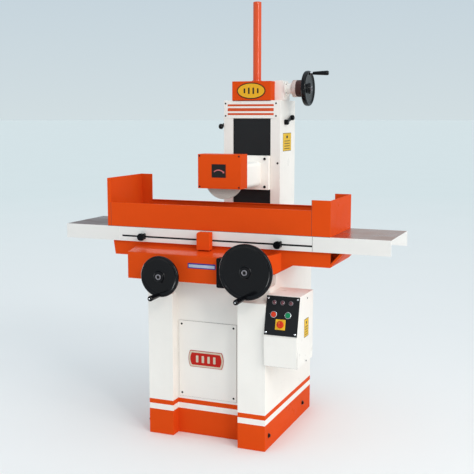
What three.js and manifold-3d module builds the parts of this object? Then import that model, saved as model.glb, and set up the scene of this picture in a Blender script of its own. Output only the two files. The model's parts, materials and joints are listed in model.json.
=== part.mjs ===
import * as THREE from 'three';
import { mergeVertices } from 'three/addons/utils/BufferGeometryUtils.js';
import Module from 'manifold-3d';

// Column-type surface grinder, millimetres, +Z up, front towards -Y, floor at Z = 0.
// X = 0 and Y = 0 lie on the vertical line of the floor mount under the base.

// ---- driving dimensions -------------------------------------------------
const GAP = 0.3;            // clearance kept between neighbouring pieces
const SHEET = 3;            // folded sheet metal

const BASE = { halfW: 327, front: -475, back: 260, top: 811, wall: 26 };
const PILLAR = { top: 742, slope: 8, back: -412, leftFront: -440 };
const RIB = { half: 10, top: 240 };
const RECESS = { x0: -190, x1: 182, back: -378 };
const BED = { front: -330, top: 865, leftIn: -245, rightIn: 287 };
const FOOT = { halfW: 200, back: 450 };
const VEE = { x: -286, halfW: 22, rise: 18 };
const DOOR = { x0: -182, x1: 138, z0: 199, z1: 600, hole: 34 };
const BADGE = { x: -30, z: 405, w: 196, h: 86, r: 22 };
const PLINTH_HOLE = { z: 66, r: 11, depth: 14, y: [-421, 119] };

const COL = { halfW: 166, front: 180, back: 434, top: 1724, recess: 110.5, web: 222, inner: 240 };
const SLOT = { halfW: 24, z0: 1120, z1: 1600 };
const CLAMP = [258, 1606];  // pivot of the slide clamps, y and z
const LEVER = { reach: 88, rise: 16, arm: 7.5 };   // clamp lever's length, slope in degrees, half width
const CAP = { halfW: 113, front: 172, back: 330, top: 1828 };
const NAMEPLATE = { x0: -164, x1: 151, z0: 1627, z1: 1721 };
const LIFT = { y: 262, z: 1788, screwR: 11 };
const BEVEL = { r0: 19, r1: 30, play: 0.5, base: 1720 };   // equal blanks on 45 degree cones
const TUBE = { r: 23, top: 2262 };
const DIAL_LENGTH = 82;     // elevating dial with the collar beside it
const GEARBOX = { x1: 170, y0: 236, y1: 326, top: 1832, nose: 36 };

const SLIDE = { y0: 150, halfW: 109.5, z0: 1238, z1: 1424 };
const HOUSING = { half: 67, z0: 1258, corner: 24, y0: -167.7, bore: 46 };
const SPINDLE = { z: 1318, r: 17 };
const WHEEL = { r: 102.5, bore: 25.4, y: -210, t: 20 };
const GUARD = { x0: -125, x1: 111, y0: -256, y1: -168, z0: 1272, z1: 1447, t: 4 };

const SADDLE = { x0: -575, x1: 610, y0: -350, y1: 0, z0: 918, z1: 992.7 };
const APRON = { x0: -422, x1: 275, y: -475, t: 18, z0: 820, z1: 955, foldX: 362 };
const BRACKET = { x0: -70, x1: 3, y0: -404, y1: -368, top: 1064 };
const TABLE = { x0: -530, x1: 524, y0: -364.5, y1: -105, back: 12, z0: 993, z1: 1068 };
const TRAY = { x0: -854, x1: 906 };
const END_RISE = 19;        // height of a tray's end plate at its front corner
const GROOVE = { z: 1020, h: 9, d: 12 };
const TEE = { y: [-305, -235, -165], neck: 6, foot: 11 };   // tee slots: half widths
const DOG_X = [-393, 353];
const SPLASH = { x0: -600, x1: 613, front: 1192, back: 1178, left: 1319, right: 1243, returns: [70, 85] };

const CROSS = { x: -198, z: 856, r: 103, dial: 38 };
const TRAV = { x: 257, z: 908, r: 136, dial: 44 };
const WHEEL_Y = -548;       // back of both front handwheels
const HUB = 26;             // length of a handwheel's hub; its shaft stands 2 mm proud
const GRIP = {              // length, radius at the wheel and radius at the end
  cross: { length: 110, neck: 11, end: 14 },
  traverse: { length: 130, neck: 11.5, end: 14 },
  elevating: { length: 111, neck: 8.5, end: 13 },
};
const RACK = { module: 4, teeth: 12, y: -300, w: 18, x0: -56, x1: 572 };

const BOX = { x0: 327, x1: 496, front: -492, knee: -497, kneeZ: 598, topY: -452, back: -248 };
const BOX_Z = { z0: 443, z1: 786 };

// ---- materials ----------------------------------------------------------
const PAINT = {
  orange: [0xd94b1e, 0.05, 0.45], cream: [0xf1ede4, 0.05, 0.5], black: [0x17181b, 0.05, 0.3],
  steel: [0xb9bdc2, 0.9, 0.3], iron: [0x7c8086, 0.8, 0.5], tray: [0xd9dcdc, 0.2, 0.5],
  abrasive: [0xd9d6cf, 0.0, 0.95], yellow: [0xe6ae24, 0.05, 0.5], red: [0xc92d22, 0.05, 0.4],
  green: [0x128a55, 0.05, 0.35], bronze: [0xb08d4a, 0.8, 0.4], lamp: [0xd8d2cf, 0.1, 0.25],
};

// ---- helpers ------------------------------------------------------------
const wasm = await Module();
wasm.setup();

function toSolid(geometry) {
  const bare = new THREE.BufferGeometry();
  bare.setAttribute('position', geometry.getAttribute('position').clone());
  if (geometry.index) {
    bare.setIndex(geometry.index.clone());
  }
  const merged = mergeVertices(bare, 1e-4);
  const mesh = new wasm.Mesh({
    numProp: 3,
    vertProperties: new Float32Array(merged.attributes.position.array),
    triVerts: orient(merged),
  });
  return new wasm.Manifold(mesh);
}

function orient(geometry) {
  const p = geometry.attributes.position;
  const tri = new Uint32Array(geometry.index.array);
  const [a, b, c] = [new THREE.Vector3(), new THREE.Vector3(), new THREE.Vector3()];
  let volume = 0;
  for (let i = 0; i < tri.length; i += 3) {
    a.fromBufferAttribute(p, tri[i]);
    b.fromBufferAttribute(p, tri[i + 1]);
    c.fromBufferAttribute(p, tri[i + 2]);
    volume += a.dot(b.cross(c));
  }
  if (volume < 0) {
    for (let i = 0; i < tri.length; i += 3) {
      [tri[i + 1], tri[i + 2]] = [tri[i + 2], tri[i + 1]];
    }
  }
  return tri;
}

function box(x0, x1, y0, y1, z0, z1) {
  const g = new THREE.BoxGeometry(x1 - x0, y1 - y0, z1 - z0);
  g.translate((x0 + x1) / 2, (y0 + y1) / 2, (z0 + z1) / 2);
  return toSolid(g);
}

const FROM_Y = {
  x: new THREE.Matrix4().makeRotationZ(-Math.PI / 2),
  y: new THREE.Matrix4(),
  z: new THREE.Matrix4().makeRotationX(Math.PI / 2),
};

function cyl(axis, at, r, from, to, sides = 20, rEnd = r) {
  // cylinder or cone along an axis; `at` holds the two other coordinates in x, y, z order
  const g = new THREE.CylinderGeometry(rEnd, r, to - from, sides);
  g.applyMatrix4(FROM_Y[axis]);
  const mid = (from + to) / 2;
  const c = { x: [mid, at[0], at[1]], y: [at[0], mid, at[1]], z: [at[0], at[1], mid] }[axis];
  g.translate(...c);
  return toSolid(g);
}

function turned(axis, at, base, sign, profile, sides = 24) {
  // profile: [radius, distance along sign * axis from base], closed on itself or on the axis
  const pts = profile.map(([r, d]) => new THREE.Vector2(r, sign * d + base));
  if (profile[0][0] > 0) {
    pts.push(pts[0].clone());
  }
  const g = new THREE.LatheGeometry(pts, sides);
  g.applyMatrix4(FROM_Y[axis]);
  const c = { x: [0, at[0], at[1]], y: [at[0], 0, at[1]], z: [at[0], at[1], 0] }[axis];
  g.translate(...c);
  return toSolid(g);
}

function prism(axis, outline, from, to) {
  // outline: closed polygon in the two other coordinates (x: [y,z], y: [x,z], z: [x,y])
  const shape = new THREE.Shape(outline.map(([u, v]) => new THREE.Vector2(u, v)));
  const g = new THREE.ExtrudeGeometry(shape, { depth: to - from, bevelEnabled: false });
  const p = g.attributes.position;
  for (let i = 0; i < p.count; i += 1) {
    const [u, v, w] = [p.getX(i), p.getY(i), p.getZ(i) + from];
    const q = { x: [w, u, v], y: [u, w, v], z: [u, v, w] }[axis];
    p.setXYZ(i, ...q);
  }
  return toSolid(g);
}

function roundedRect(u, v, w, h, r, n = 5) {
  const pts = [];
  const corners = [[1, 1, 0], [-1, 1, 90], [-1, -1, 180], [1, -1, 270]];
  for (const [su, sv, start] of corners) {
    for (let i = 0; i <= n; i += 1) {
      const a = THREE.MathUtils.degToRad(start + (90 * i) / n);
      pts.push([u + su * (w / 2 - r) + r * Math.cos(a), v + sv * (h / 2 - r) + r * Math.sin(a)]);
    }
  }
  return pts;
}

function ellipse(u, v, a, b, n = 40) {
  return Array.from({ length: n }, (_, i) => {
    const t = (2 * Math.PI * i) / n;
    return [u + a * Math.cos(t), v + b * Math.sin(t)];
  });
}

const cut = (solid, ...tools) => tools.reduce((s, t) => s.subtract(t), solid);
const join = (solid, ...more) => more.reduce((s, t) => s.add(t), solid);

const group = new THREE.Group();
group.name = 'surface_grinder';

function put(name, solid, paint) {
  const m = solid.getMesh();
  const g = new THREE.BufferGeometry();
  const xyz = new Float32Array(m.numVert * 3);
  for (let i = 0; i < m.numVert; i += 1) {
    xyz.set(m.vertProperties.subarray(i * m.numProp, i * m.numProp + 3), i * 3);
  }
  g.setAttribute('position', new THREE.BufferAttribute(xyz, 3));
  g.setIndex(new THREE.BufferAttribute(new Uint32Array(m.triVerts), 1));
  const flat = g.toNonIndexed();
  flat.computeVertexNormals();
  const [color, metalness, roughness] = PAINT[paint];
  const mesh = new THREE.Mesh(flat, new THREE.MeshStandardMaterial({ color, metalness, roughness }));
  mesh.name = name;
  group.add(mesh);
}

// ---- base ---------------------------------------------------------------
{
  const { halfW: w, front, back, top, wall } = BASE;
  let base = box(-w, w, front, back, 0, top);
  base = join(base, box(-FOOT.halfW, FOOT.halfW, back - 1, FOOT.back, 0, top));
  base = cut(
    base,
    box(RECESS.x0, RECESS.x1, front - 1, RECESS.back, -1, top + 1),
    box(-w - 1, RECESS.x0 + 1, front - 1, PILLAR.leftFront, -1, top + 1),
    prism('x', [[front - 1, PILLAR.top], [PILLAR.back, PILLAR.top + PILLAR.slope], [PILLAR.back, top + 1],
      [front - 1, top + 1]], -w - 1, w + 1),
  );
  base = join(
    base,
    box(-w, BED.leftIn, BED.front, back, top - 1, BED.top),
    box(BED.rightIn, w, BED.front, back, top - 1, BED.top),
    prism('y', [
      [VEE.x - VEE.halfW, BED.top - 1],
      [VEE.x + VEE.halfW, BED.top - 1],
      [VEE.x + VEE.halfW, BED.top],
      [VEE.x, BED.top + VEE.rise],
      [VEE.x - VEE.halfW, BED.top],
    ], BED.front, back),
  );
  const inner = [RECESS.back + wall, back - wall];
  base = cut(
    base,
    box(-w + wall, w - wall, inner[0], inner[1], -1, top - wall),
    box(-FOOT.halfW + wall, FOOT.halfW - wall, inner[1] - 1, FOOT.back - wall, -1, top - wall),
    box(DOOR.x0 + DOOR.hole, DOOR.x1 - DOOR.hole, front, inner[0] + 1, DOOR.z0 + DOOR.hole,
      DOOR.z1 - DOOR.hole),
  );
  base = join(base, box(-w + 1, w - 1, -RIB.half, RIB.half, 0, RIB.top));
  for (const y of PLINTH_HOLE.y) {
    for (const side of [-1, 1]) {
      const x = side * (w - PLINTH_HOLE.depth);
      base = cut(base, cyl('x', [y, PLINTH_HOLE.z], PLINTH_HOLE.r, Math.min(x, side * (w + 1)),
        Math.max(x, side * (w + 1)), 20));
    }
  }
  put('base_casting', base, 'cream');

  const face = RECESS.back - GAP;
  put('front_door_cover', box(DOOR.x0, DOOR.x1, face - SHEET, face, DOOR.z0, DOOR.z1), 'cream');
  const badgeFace = face - SHEET - GAP;
  put('door_badge', prism('y', roundedRect(BADGE.x, BADGE.z, BADGE.w, BADGE.h, BADGE.r),
    badgeFace - 4, badgeFace), 'red');
}

// ---- electrical box with its slanted console ----------------------------
const panel = (() => {
  const dy = BOX.topY - BOX.knee;
  const dz = BOX_Z.z1 - BOX.kneeZ;
  const len = Math.hypot(dy, dz);
  return { len, up: [dy / len, dz / len], out: [-dz / len, dy / len] };
})();

function onPanel(along, out) {
  // a point of the slanted panel: distance up from its lower edge and out from its face
  return [
    BOX.knee + panel.up[0] * along + panel.out[0] * out,
    BOX.kneeZ + panel.up[1] * along + panel.out[1] * out,
  ];
}

function panelSlab(x0, x1, a0, a1, d0, d1) {
  return prism('x', [onPanel(a0, d0), onPanel(a0, d1), onPanel(a1, d1), onPanel(a1, d0)], x0, x1);
}

function panelTurned(x, along, profile, sides = 18) {
  // a turned piece standing on the panel; profile: [radius, distance out]
  const pts = profile.map(([r, d]) => new THREE.Vector2(r, d));
  const g = new THREE.LatheGeometry(pts, sides);
  const [y, z] = onPanel(along, 0);
  g.applyMatrix4(new THREE.Matrix4().makeRotationX(Math.atan2(panel.out[1], panel.out[0])));
  g.translate(x, y, z);
  return toSolid(g);
}

const CONSOLE = { lampZ: 160, lampX: [369, 411, 453], pushZ: 102, stopX: 371, startX: 443, lampR: 11.5 };
const PUSH = { r: 13, hole: 13.4, bezel: 16.5 };
const SWITCH = { x: 408, z: 55, half: 25, knobR: 17.5 };
{
  const { x0, x1, front, knee, kneeZ, topY, back } = BOX;
  const outer = [[front, BOX_Z.z0], [back, BOX_Z.z0], [back, BOX_Z.z1], [topY, BOX_Z.z1], [knee, kneeZ]];
  let shell = prism('x', outer, x0 + GAP, x1);
  shell = cut(shell, prism('x', [
    [front - 20, BOX_Z.z0 + 6], [back - SHEET, BOX_Z.z0 + 6], [back - SHEET, BOX_Z.z1 - 6],
    [topY - 20, BOX_Z.z1 - 6],
  ], x0 + GAP + SHEET, x1 - SHEET));
  put('electrical_box', shell, 'cream');

  const plateX = [x0 + 1, x1 - 1];
  put('box_cover_plate', prism('x', [
    [front - GAP, BOX_Z.z0 + 2], [front - GAP - SHEET, BOX_Z.z0 + 2],
    [knee - GAP - SHEET, kneeZ - 4], [knee - GAP, kneeZ - 4],
  ], ...plateX), 'cream');
  let plate = panelSlab(...plateX, 2, panel.len - 2, GAP, GAP + SHEET);
  for (const x of [CONSOLE.stopX, CONSOLE.startX]) {
    plate = cut(plate, panelTurned(x, CONSOLE.pushZ, [[0, -2], [PUSH.hole, -2], [PUSH.hole, 9], [0, 9]]));
  }
  plate = cut(plate, panelTurned(SWITCH.x, SWITCH.z, [[0, -2], [6.4, -2], [6.4, 9], [0, 9]]));
  const face = GAP + SHEET;
  for (const x of [CONSOLE.stopX, CONSOLE.startX]) {
    const bezel = [[PUSH.hole, face - 1], [PUSH.bezel, face - 1], [PUSH.bezel, face + 3],
      [PUSH.bezel - 1.5, face + 5], [PUSH.hole, face + 5]];
    plate = join(plate, panelTurned(x, CONSOLE.pushZ, [...bezel, bezel[0]]));
  }
  put('console_panel', plate, 'black');

  CONSOLE.lampX.forEach((x, i) => {
    put(`indicator_lamp_${i + 1}`, panelTurned(x, CONSOLE.lampZ, [
      [0, face + GAP], [CONSOLE.lampR, face + GAP], [CONSOLE.lampR, face + 2],
      [CONSOLE.lampR - 2, face + 4], [CONSOLE.lampR - 3, face + 7], [0, face + 8],
    ], 14), 'lamp');
  });
  const button = [[0, -14], [PUSH.r, -14], [PUSH.r, face + 8], [PUSH.r - 2, face + 10], [0, face + 10]];
  for (const [name, x, paint] of [['stop', CONSOLE.stopX, 'red'], ['start', CONSOLE.startX, 'green']]) {
    put(`${name}_button`, panelTurned(x, CONSOLE.pushZ, button), paint);
  }
  const { half } = SWITCH;
  const hole = panelTurned(SWITCH.x, SWITCH.z, [[0, -2], [6.4, -2], [6.4, 12], [0, 12]]);
  put('main_switch_plate', cut(panelSlab(SWITCH.x - half, SWITCH.x + half, SWITCH.z - half,
    SWITCH.z + half, face + GAP, face + 2), hole), 'yellow');
  const knobFace = face + 2 + GAP;
  let knob = panelTurned(SWITCH.x, SWITCH.z,
    [[0, -10], [6, -10], [6, knobFace], [SWITCH.knobR, knobFace], [SWITCH.knobR, knobFace + 6],
      [SWITCH.knobR - 2, knobFace + 8], [0, knobFace + 8]]);
  knob = join(knob, panelSlab(SWITCH.x - 5, SWITCH.x + 5, SWITCH.z - 15, SWITCH.z + 15,
    knobFace + 4, knobFace + 20));
  put('main_switch_knob', knob, 'red');
}

// ---- column -------------------------------------------------------------
{
  const { halfW: w, front, back, top, recess, web, inner } = COL;
  let column = box(-w, w, front, back, BASE.top + GAP, top);
  column = cut(
    column,
    box(-w + 22, w - 22, inner, back - 20, BASE.top - 1, top - 24),
    box(-recess, recess, front - 1, web, BASE.top - 1, top + 1),
    box(-SLOT.halfW, SLOT.halfW, web - 1, inner + 1, SLOT.z0, SLOT.z1),
    cyl('z', [0, LIFT.y], 27, top - 60, top + 1, 24),
  );
  for (const side of [-1, 1]) {
    column = cut(column, cyl('x', CLAMP, 8.4, side > 0 ? w - 12 : -w - 1, side > 0 ? w + 1 : -w + 12, 20));
  }
  put('column', column, 'cream');

  put('column_nameplate', box(NAMEPLATE.x0, NAMEPLATE.x1, front - GAP - 2, front - GAP,
    NAMEPLATE.z0, NAMEPLATE.z1), 'cream');

  const t = 2;
  let cap = box(-CAP.halfW, CAP.halfW, CAP.front, CAP.back, top + GAP, CAP.top);
  cap = cut(
    cap,
    box(-CAP.halfW + t, CAP.halfW - t, CAP.front + t, CAP.back - t, top - 1, CAP.top - t),
    cyl('z', [0, LIFT.y], 16, top, CAP.top + 1),
    cyl('x', [LIFT.y, LIFT.z], 13, CAP.halfW - 10, CAP.halfW + 5),
  );
  put('column_cap', cap, 'orange');
  put('cap_emblem', prism('y', ellipse(0, (top + CAP.top) / 2, 83, 44),
    CAP.front - GAP - 3, CAP.front - GAP), 'yellow');

  const tubeBase = CAP.top + GAP;
  const tubeEnd = TUBE.top - tubeBase;
  put('screw_cover_tube', turned('z', [0, LIFT.y], tubeBase, 1, [
    [16, 0], [30, 0], [30, 5], [TUBE.r, 5], [TUBE.r, tubeEnd - 6], [TUBE.r - 6, tubeEnd],
    [0, tubeEnd], [0, tubeEnd - 3], [16, tubeEnd - 6],
  ], 24), 'orange');
}

// ---- elevating drive at the top of the column ---------------------------
{
  const { y0, y1, x1, top, nose } = GEARBOX;
  const x0 = CAP.halfW + GAP;
  let gearbox = box(x0, x1, y0, y1, COL.top + GAP, top - 26);
  gearbox = join(
    gearbox,
    prism('y', [[x0, top - 27], [x1, top - 27], [x1 - 12, top], [x0, top]], y0, y1),
    cyl('x', [LIFT.y, LIFT.z], 27, x1 - 1, x1 + nose),
    prism('y', [[x1 - 1, COL.top + 2], [x1, COL.top + 2], [x1 + 26, LIFT.z - 22], [x1 - 1, LIFT.z - 22]],
      LIFT.y - 9, LIFT.y + 9),
  );
  gearbox = cut(gearbox, cyl('x', [LIFT.y, LIFT.z], 10.3, x0 - 1, x1 + 60));
  put('bevel_gearbox', gearbox, 'cream');

  const dialX = x1 + nose + GAP;
  const wheelX = dialX + DIAL_LENGTH + GAP;
  const { r0, r1, play, base } = BEVEL;
  let shaft = cyl('x', [LIFT.y, LIFT.z], 10, r0 + play, wheelX + HUB + 2);
  shaft = join(
    shaft,
    cyl('x', [LIFT.y, LIFT.z], r0, r0 + play, r1 + play, 20, r1),
    cyl('x', [LIFT.y, LIFT.z], 22, r1 + play - 1, r1 + 18),
  );

  const wide = LIFT.z - r1 - play - base;
  const narrow = LIFT.z - r0 - play - base;
  put('elevating_nut_gear', turned('z', [0, LIFT.y], base, 1,
    [[11.3, 0], [24, 0], [24, 18], [r1, 18], [r1, wide], [r0, narrow], [11.3, narrow]]), 'bronze');

  shaft = join(shaft, turned('x', [LIFT.y, LIFT.z], dialX, 1,
    [[9, 0], [32, 0], [46, 8], [46, 28], [45, 29], [45, DIAL_LENGTH - 3], [41, DIAL_LENGTH],
      [9, DIAL_LENGTH]], 36));
  put('elevating_shaft', shaft, 'steel');
  handwheelWithGrip('elevating', 'x', [LIFT.y, LIFT.z], wheelX, 1, 95, 10.3, 26,
    [LIFT.y, LIFT.z + 81], GRIP.elevating, -6);
}

// ---- handwheels and their grips -----------------------------------------
function handwheel(axis, at, base, sign, r, bore, hub, rimBack) {
  return turned(axis, at, base, sign, [
    [bore, 0], [hub, 0], [hub + 2, 7], [r * 0.62, 7], [r - 14, 3 + rimBack], [r - 6, rimBack],
    [r, 5 + rimBack], [r, 15], [r - 6, 20], [r - 12, 19], [r * 0.62, 13], [hub + 4, 13], [hub, HUB], [bore, HUB],
  ], 40);
}

function handwheelWithGrip(name, axis, at, base, sign, r, bore, hub, pinAt, grip, rimBack = 0) {
  const { length, neck, end } = grip;
  const pin = turned(axis, pinAt, base + sign * 8, sign, [
    [0, 0], [neck, 0], [neck, 12.5], [5, 12.5], [5, length], [0, length],
  ], 16);
  put(`${name}_handwheel`, join(handwheel(axis, at, base, sign, r, bore, hub, rimBack), pin), 'black');
  put(`${name}_handle`, turned(axis, pinAt, base + sign * 21, sign, [
    [5.1, 0], [neck, 0], [end, length - 18], [end - 1, length - 9], [end - 5, length - 4],
    [0, length - 4], [0, length - 8], [5.1, length - 8],
  ], 16), 'black');
}

// ---- head: slide, spindle housing, wheel and guard ----------------------
{
  const { y0, halfW, z0, z1 } = SLIDE;
  let slide = box(-halfW, halfW, y0, COL.web - GAP, z0, z1);
  slide = join(
    slide,
    box(-SLOT.halfW + GAP, SLOT.halfW - GAP, COL.web - 1, COL.inner + 1, z0 + 30, z1 - 30),
    box(-34, 34, COL.inner + GAP, LIFT.y + 26, z0 + 40, z1 - 60),
    box(-SLOT.halfW + GAP, SLOT.halfW - GAP, COL.inner, COL.inner + 2, z0 + 40, z1 - 60),
  );
  slide = cut(slide, cyl('z', [0, LIFT.y], LIFT.screwR + GAP, z0 - 1, z1 + 1, 20),
    cyl('y', [0, SPINDLE.z], 22, y0 - 1, COL.web - 12));
  put('head_slide', slide, 'cream');

  const hz = [HOUSING.z0, HOUSING.z0 + 2 * HOUSING.half];
  const square = roundedRect(0, (hz[0] + hz[1]) / 2, 2 * HOUSING.half, 2 * HOUSING.half, HOUSING.corner);
  let housing = prism('y', square, HOUSING.y0, y0 - GAP);
  housing = cut(
    housing,
    cyl('y', [0, SPINDLE.z], HOUSING.bore, HOUSING.y0 + 26, y0 + 1, 24),
    cyl('y', [0, SPINDLE.z], 34, HOUSING.y0 - 1, HOUSING.y0 + 40, 24),
  );
  put('spindle_housing', housing, 'cream');

  const wayY = [COL.front + SHEET, COL.front + 2 * SHEET];
  put('upper_way_cover', box(-halfW, halfW, ...wayY, z1 + GAP, NAMEPLATE.z0 - 4), 'black');
  put('lower_way_cover', box(-halfW, halfW, ...wayY, 935, z0 - GAP), 'black');

  const { x0, x1, y0: g0, y1: g1, z0: gz0, z1: gz1, t } = GUARD;
  let guard = box(x0, x1, g0, g1, gz0, gz1);
  guard = cut(
    guard,
    box(x0 + t, x1 - t, g0 - 1, g1 - t, gz0 - 1, gz1 - t),
    cyl('y', [0, SPINDLE.z], 30, g0 - 1, g1 + 1, 24),
  );
  put('wheel_guard', guard, 'orange');
  put('wheel_guard_cover', box(x0, x1, g0 - GAP - SHEET, g0 - GAP, gz0, gz1), 'orange');

  const at = [0, SPINDLE.z];
  const { r } = SPINDLE;
  const noseY = WHEEL.y - WHEEL.t / 2;
  put('front_bearing', turned('y', at, HOUSING.y0 + 6, 1,
    [[r + GAP, 0], [34 - GAP, 0], [34 - GAP, 20], [r + GAP, 20]]), 'steel');
  put('rear_bearing', turned('y', at, y0 - 30, 1,
    [[r + GAP, 0], [HOUSING.bore - GAP, 0], [HOUSING.bore - GAP, 18], [r + GAP, 18]]), 'steel');
  put('motor_stator', turned('y', at, HOUSING.y0 + 60, 1,
    [[32, 0], [HOUSING.bore - GAP, 0], [HOUSING.bore - GAP, 190], [32, 190]]), 'iron');
  put('spindle', turned('y', at, 0, 1, [
    [0, noseY - 20], [18, noseY - 20], [20, noseY - 17], [20, noseY - 8], [36, noseY - 8], [38, noseY - 6],
    [38, noseY - GAP], [12, noseY - GAP], [12, noseY + 6], [r, noseY + 36], [r, -95], [31, -95],
    [31, 75], [r, 75], [r, y0 + 6], [0, y0 + 6],
  ]), 'steel');
  const hubR = WHEEL.bore / 2;
  put('wheel_flange', turned('y', at, noseY, 1, [
    [r + GAP, WHEEL.t + 16], [r + GAP, 37], [24, 37], [24, WHEEL.t + 8], [38, WHEEL.t + 8],
    [38, WHEEL.t + GAP], [hubR + 12 - GAP, WHEEL.t + GAP], [hubR + 12 - GAP, 0], [19, 0], [19, 14],
  ]), 'steel');
  put('grinding_wheel', turned('y', at, noseY, 1, [
    [hubR + 12, 0], [WHEEL.r, 0], [WHEEL.r, WHEEL.t], [hubR + 12, WHEEL.t],
  ], 48), 'abrasive');

  put('elevating_screw', turned('z', [0, LIFT.y], 0, 1, [
    [0, z0 + 20], [16, z0 + 20], [16, z0 + 40 - GAP], [LIFT.screwR - 0.2, z0 + 40 - GAP],
    [LIFT.screwR - 0.2, 2035], [9, 2037], [0, 2037],
  ], 20), 'steel');
}

// ---- saddle -------------------------------------------------------------
{
  const { x0, x1, y0, y1, z0, z1 } = SADDLE;
  const { y: ay, x0: ax0, x1: ax1, z0: az0, z1: az1, t: plate, foldX } = APRON;
  const deck = az1 + 22;
  const low = BED.top + GAP;
  let saddle = box(x0, x1, y0, y1, z0, z1);
  saddle = cut(
    saddle,
    box(x1 - 90, x1 + 1, y0 + 12, y1 - 12, z0 + 14, z1 - 9),
    prism('y', [[x0 - 1, z0 - 1], [x0 + 10, z0 - 1], [x0 - 1, z1]], y0 - 1, y1 + 1),
  );
  saddle = join(
    saddle,
    // sloped end of the drip tray
    prism('y', [[x1 - 14, z0], [x1, z0], [x1 + 62, z1 - 7], [x1 + 58, z1], [x1 + 50, z1],
      [x1 - 2, z0 + 14], [x1 - 14, z0 + 14]], y0, y1),
    box(BED.leftIn - 82, BASE.halfW, y0, y1, low, z0 + 1),
    // apron: front plate with a sloped deck, its left end and its angled right end
    prism('x', [[ay, az0], [ay + plate, az0], [ay + plate, az1 - 22], [y0 + 1, az1 - 12],
      [y0 + 1, deck], [ay, az1]], ax0, ax1),
    prism('x', [[ay, az0], [y0 + 1, z0], [y0 + 1, deck], [ay, az1]], ax0, ax0 + 16),
    cut(
      prism('z', [[ax1 - 1, ay], [ax1 + 1, ay], [foldX, y0 + 1], [foldX + 60, y0 + 1],
        [foldX + 60, y0 + 14], [foldX - 8, y0 + 14], [ax1 - 1, ay + plate + 8]], az0, deck),
      prism('y', [[ax1 + 11, az0 - 1], [ax1 + 11, low], [335, 875], [418, z0], [foldX + 61, z0],
        [foldX + 61, az0 - 1]], ay - 1, y0 + 15),
      prism('x', [[ay - 1, deck + 1], [ay - 1, az1], [ay, az1], [y0 + 1, deck], [y0 + 15, deck],
        [y0 + 15, deck + 1]], ax1 - 2, foldX + 61),
    ),
  );
  saddle = cut(
    saddle,
    // guide grooves for the table: a vee behind the front edge, a flat one at the back
    prism('x', [[-268, z1 + 1], [-268, z1], [-245, z1 - 22], [-222, z1], [-222, z1 + 1]], x0 - 1, x1 + 80),
    box(x0 - 1, x1 + 80, -96, -44, z1 - 13, z1 + 1),
    // channel for the rack, pocket for its pinion, bores for the two front shafts
    box(-362, x1 + 80, RACK.y - RACK.w / 2 - 3, RACK.y + RACK.w / 2 + 3, 925, z1 + 1),
    box(TRAV.x - 31, TRAV.x + 31, RACK.y - RACK.w / 2 - 3, RACK.y + RACK.w / 2 + 3, low - 1, z1 + 1),
    cyl('y', [TRAV.x, TRAV.z], 10.3, ay - 20, RACK.y, 20),
    cyl('y', [CROSS.x, CROSS.z], 12.3, ay - 20, ay + 60, 20),
    // tunnel for the cross feed screw and nut, vee guide on the base
    box(CROSS.x - 36, CROSS.x + 36, y0 - 30, y1 + 1, low - 1, CROSS.z + 36),
    prism('y', [[VEE.x - VEE.halfW - 1, low - 1], [VEE.x - VEE.halfW - 1, low + 0.5],
      [VEE.x, low + VEE.rise + 0.8],
      [VEE.x + VEE.halfW + 1, low + 0.5], [VEE.x + VEE.halfW + 1, low - 1]], y0 - 30, y1 + 1),
  );
  put('saddle', saddle, 'orange');

  const { x0: b0, x1: b1, y0: by0, y1: by1, top } = BRACKET;
  const seat = APRON.z1 + 22 * ((by1 - APRON.y) / (y0 + 1 - APRON.y)) + 1;
  put('stop_bracket', prism('y', [[b0, seat], [b1, seat], [b1, top], [b0 + 8, top], [b0, top - 8]],
    by0, by1), 'orange');

  put('traverse_gearbox', cut(
    prism('y', roundedRect(198, 885.5, 226, 147, 8, 3), APRON.y - GAP - 36, APRON.y - GAP),
    cyl('y', [TRAV.x, TRAV.z], 10.3, APRON.y - 60, APRON.y, 20),
  ), 'black');
  put('cross_bearing', turned('y', [CROSS.x, CROSS.z], APRON.y - GAP, -1,
    [[12.3, 0], [40, 0], [40, 8], [32, 12], [32, 34], [12.3, 34]]), 'iron');
}

// ---- cross feed ---------------------------------------------------------
{
  const at = [CROSS.x, CROSS.z];
  const dialY = APRON.y - 2 * GAP - 34;
  put('cross_feed_screw', turned('y', at, 0, 1, [
    [0, WHEEL_Y - HUB - 2], [12, WHEEL_Y - HUB - 2], [12, dialY - 38], [30, dialY - 38],
    [CROSS.dial, dialY - 22], [CROSS.dial, dialY], [12, dialY], [12, APRON.y + 50],
    [11, APRON.y + 52], [11, -8], [0, -8],
  ], 20), 'steel');
  let nut = box(CROSS.x - 30, CROSS.x + 30, -200, -150, BASE.top + GAP, CROSS.z + 30);
  nut = cut(nut, cyl('y', at, 11.3, -201, -149));
  put('cross_feed_nut', nut, 'bronze');
  handwheelWithGrip('cross', 'y', at, WHEEL_Y, -1, CROSS.r, 12.3, 26, [CROSS.x, CROSS.z - 91],
    GRIP.cross);
}

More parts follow.
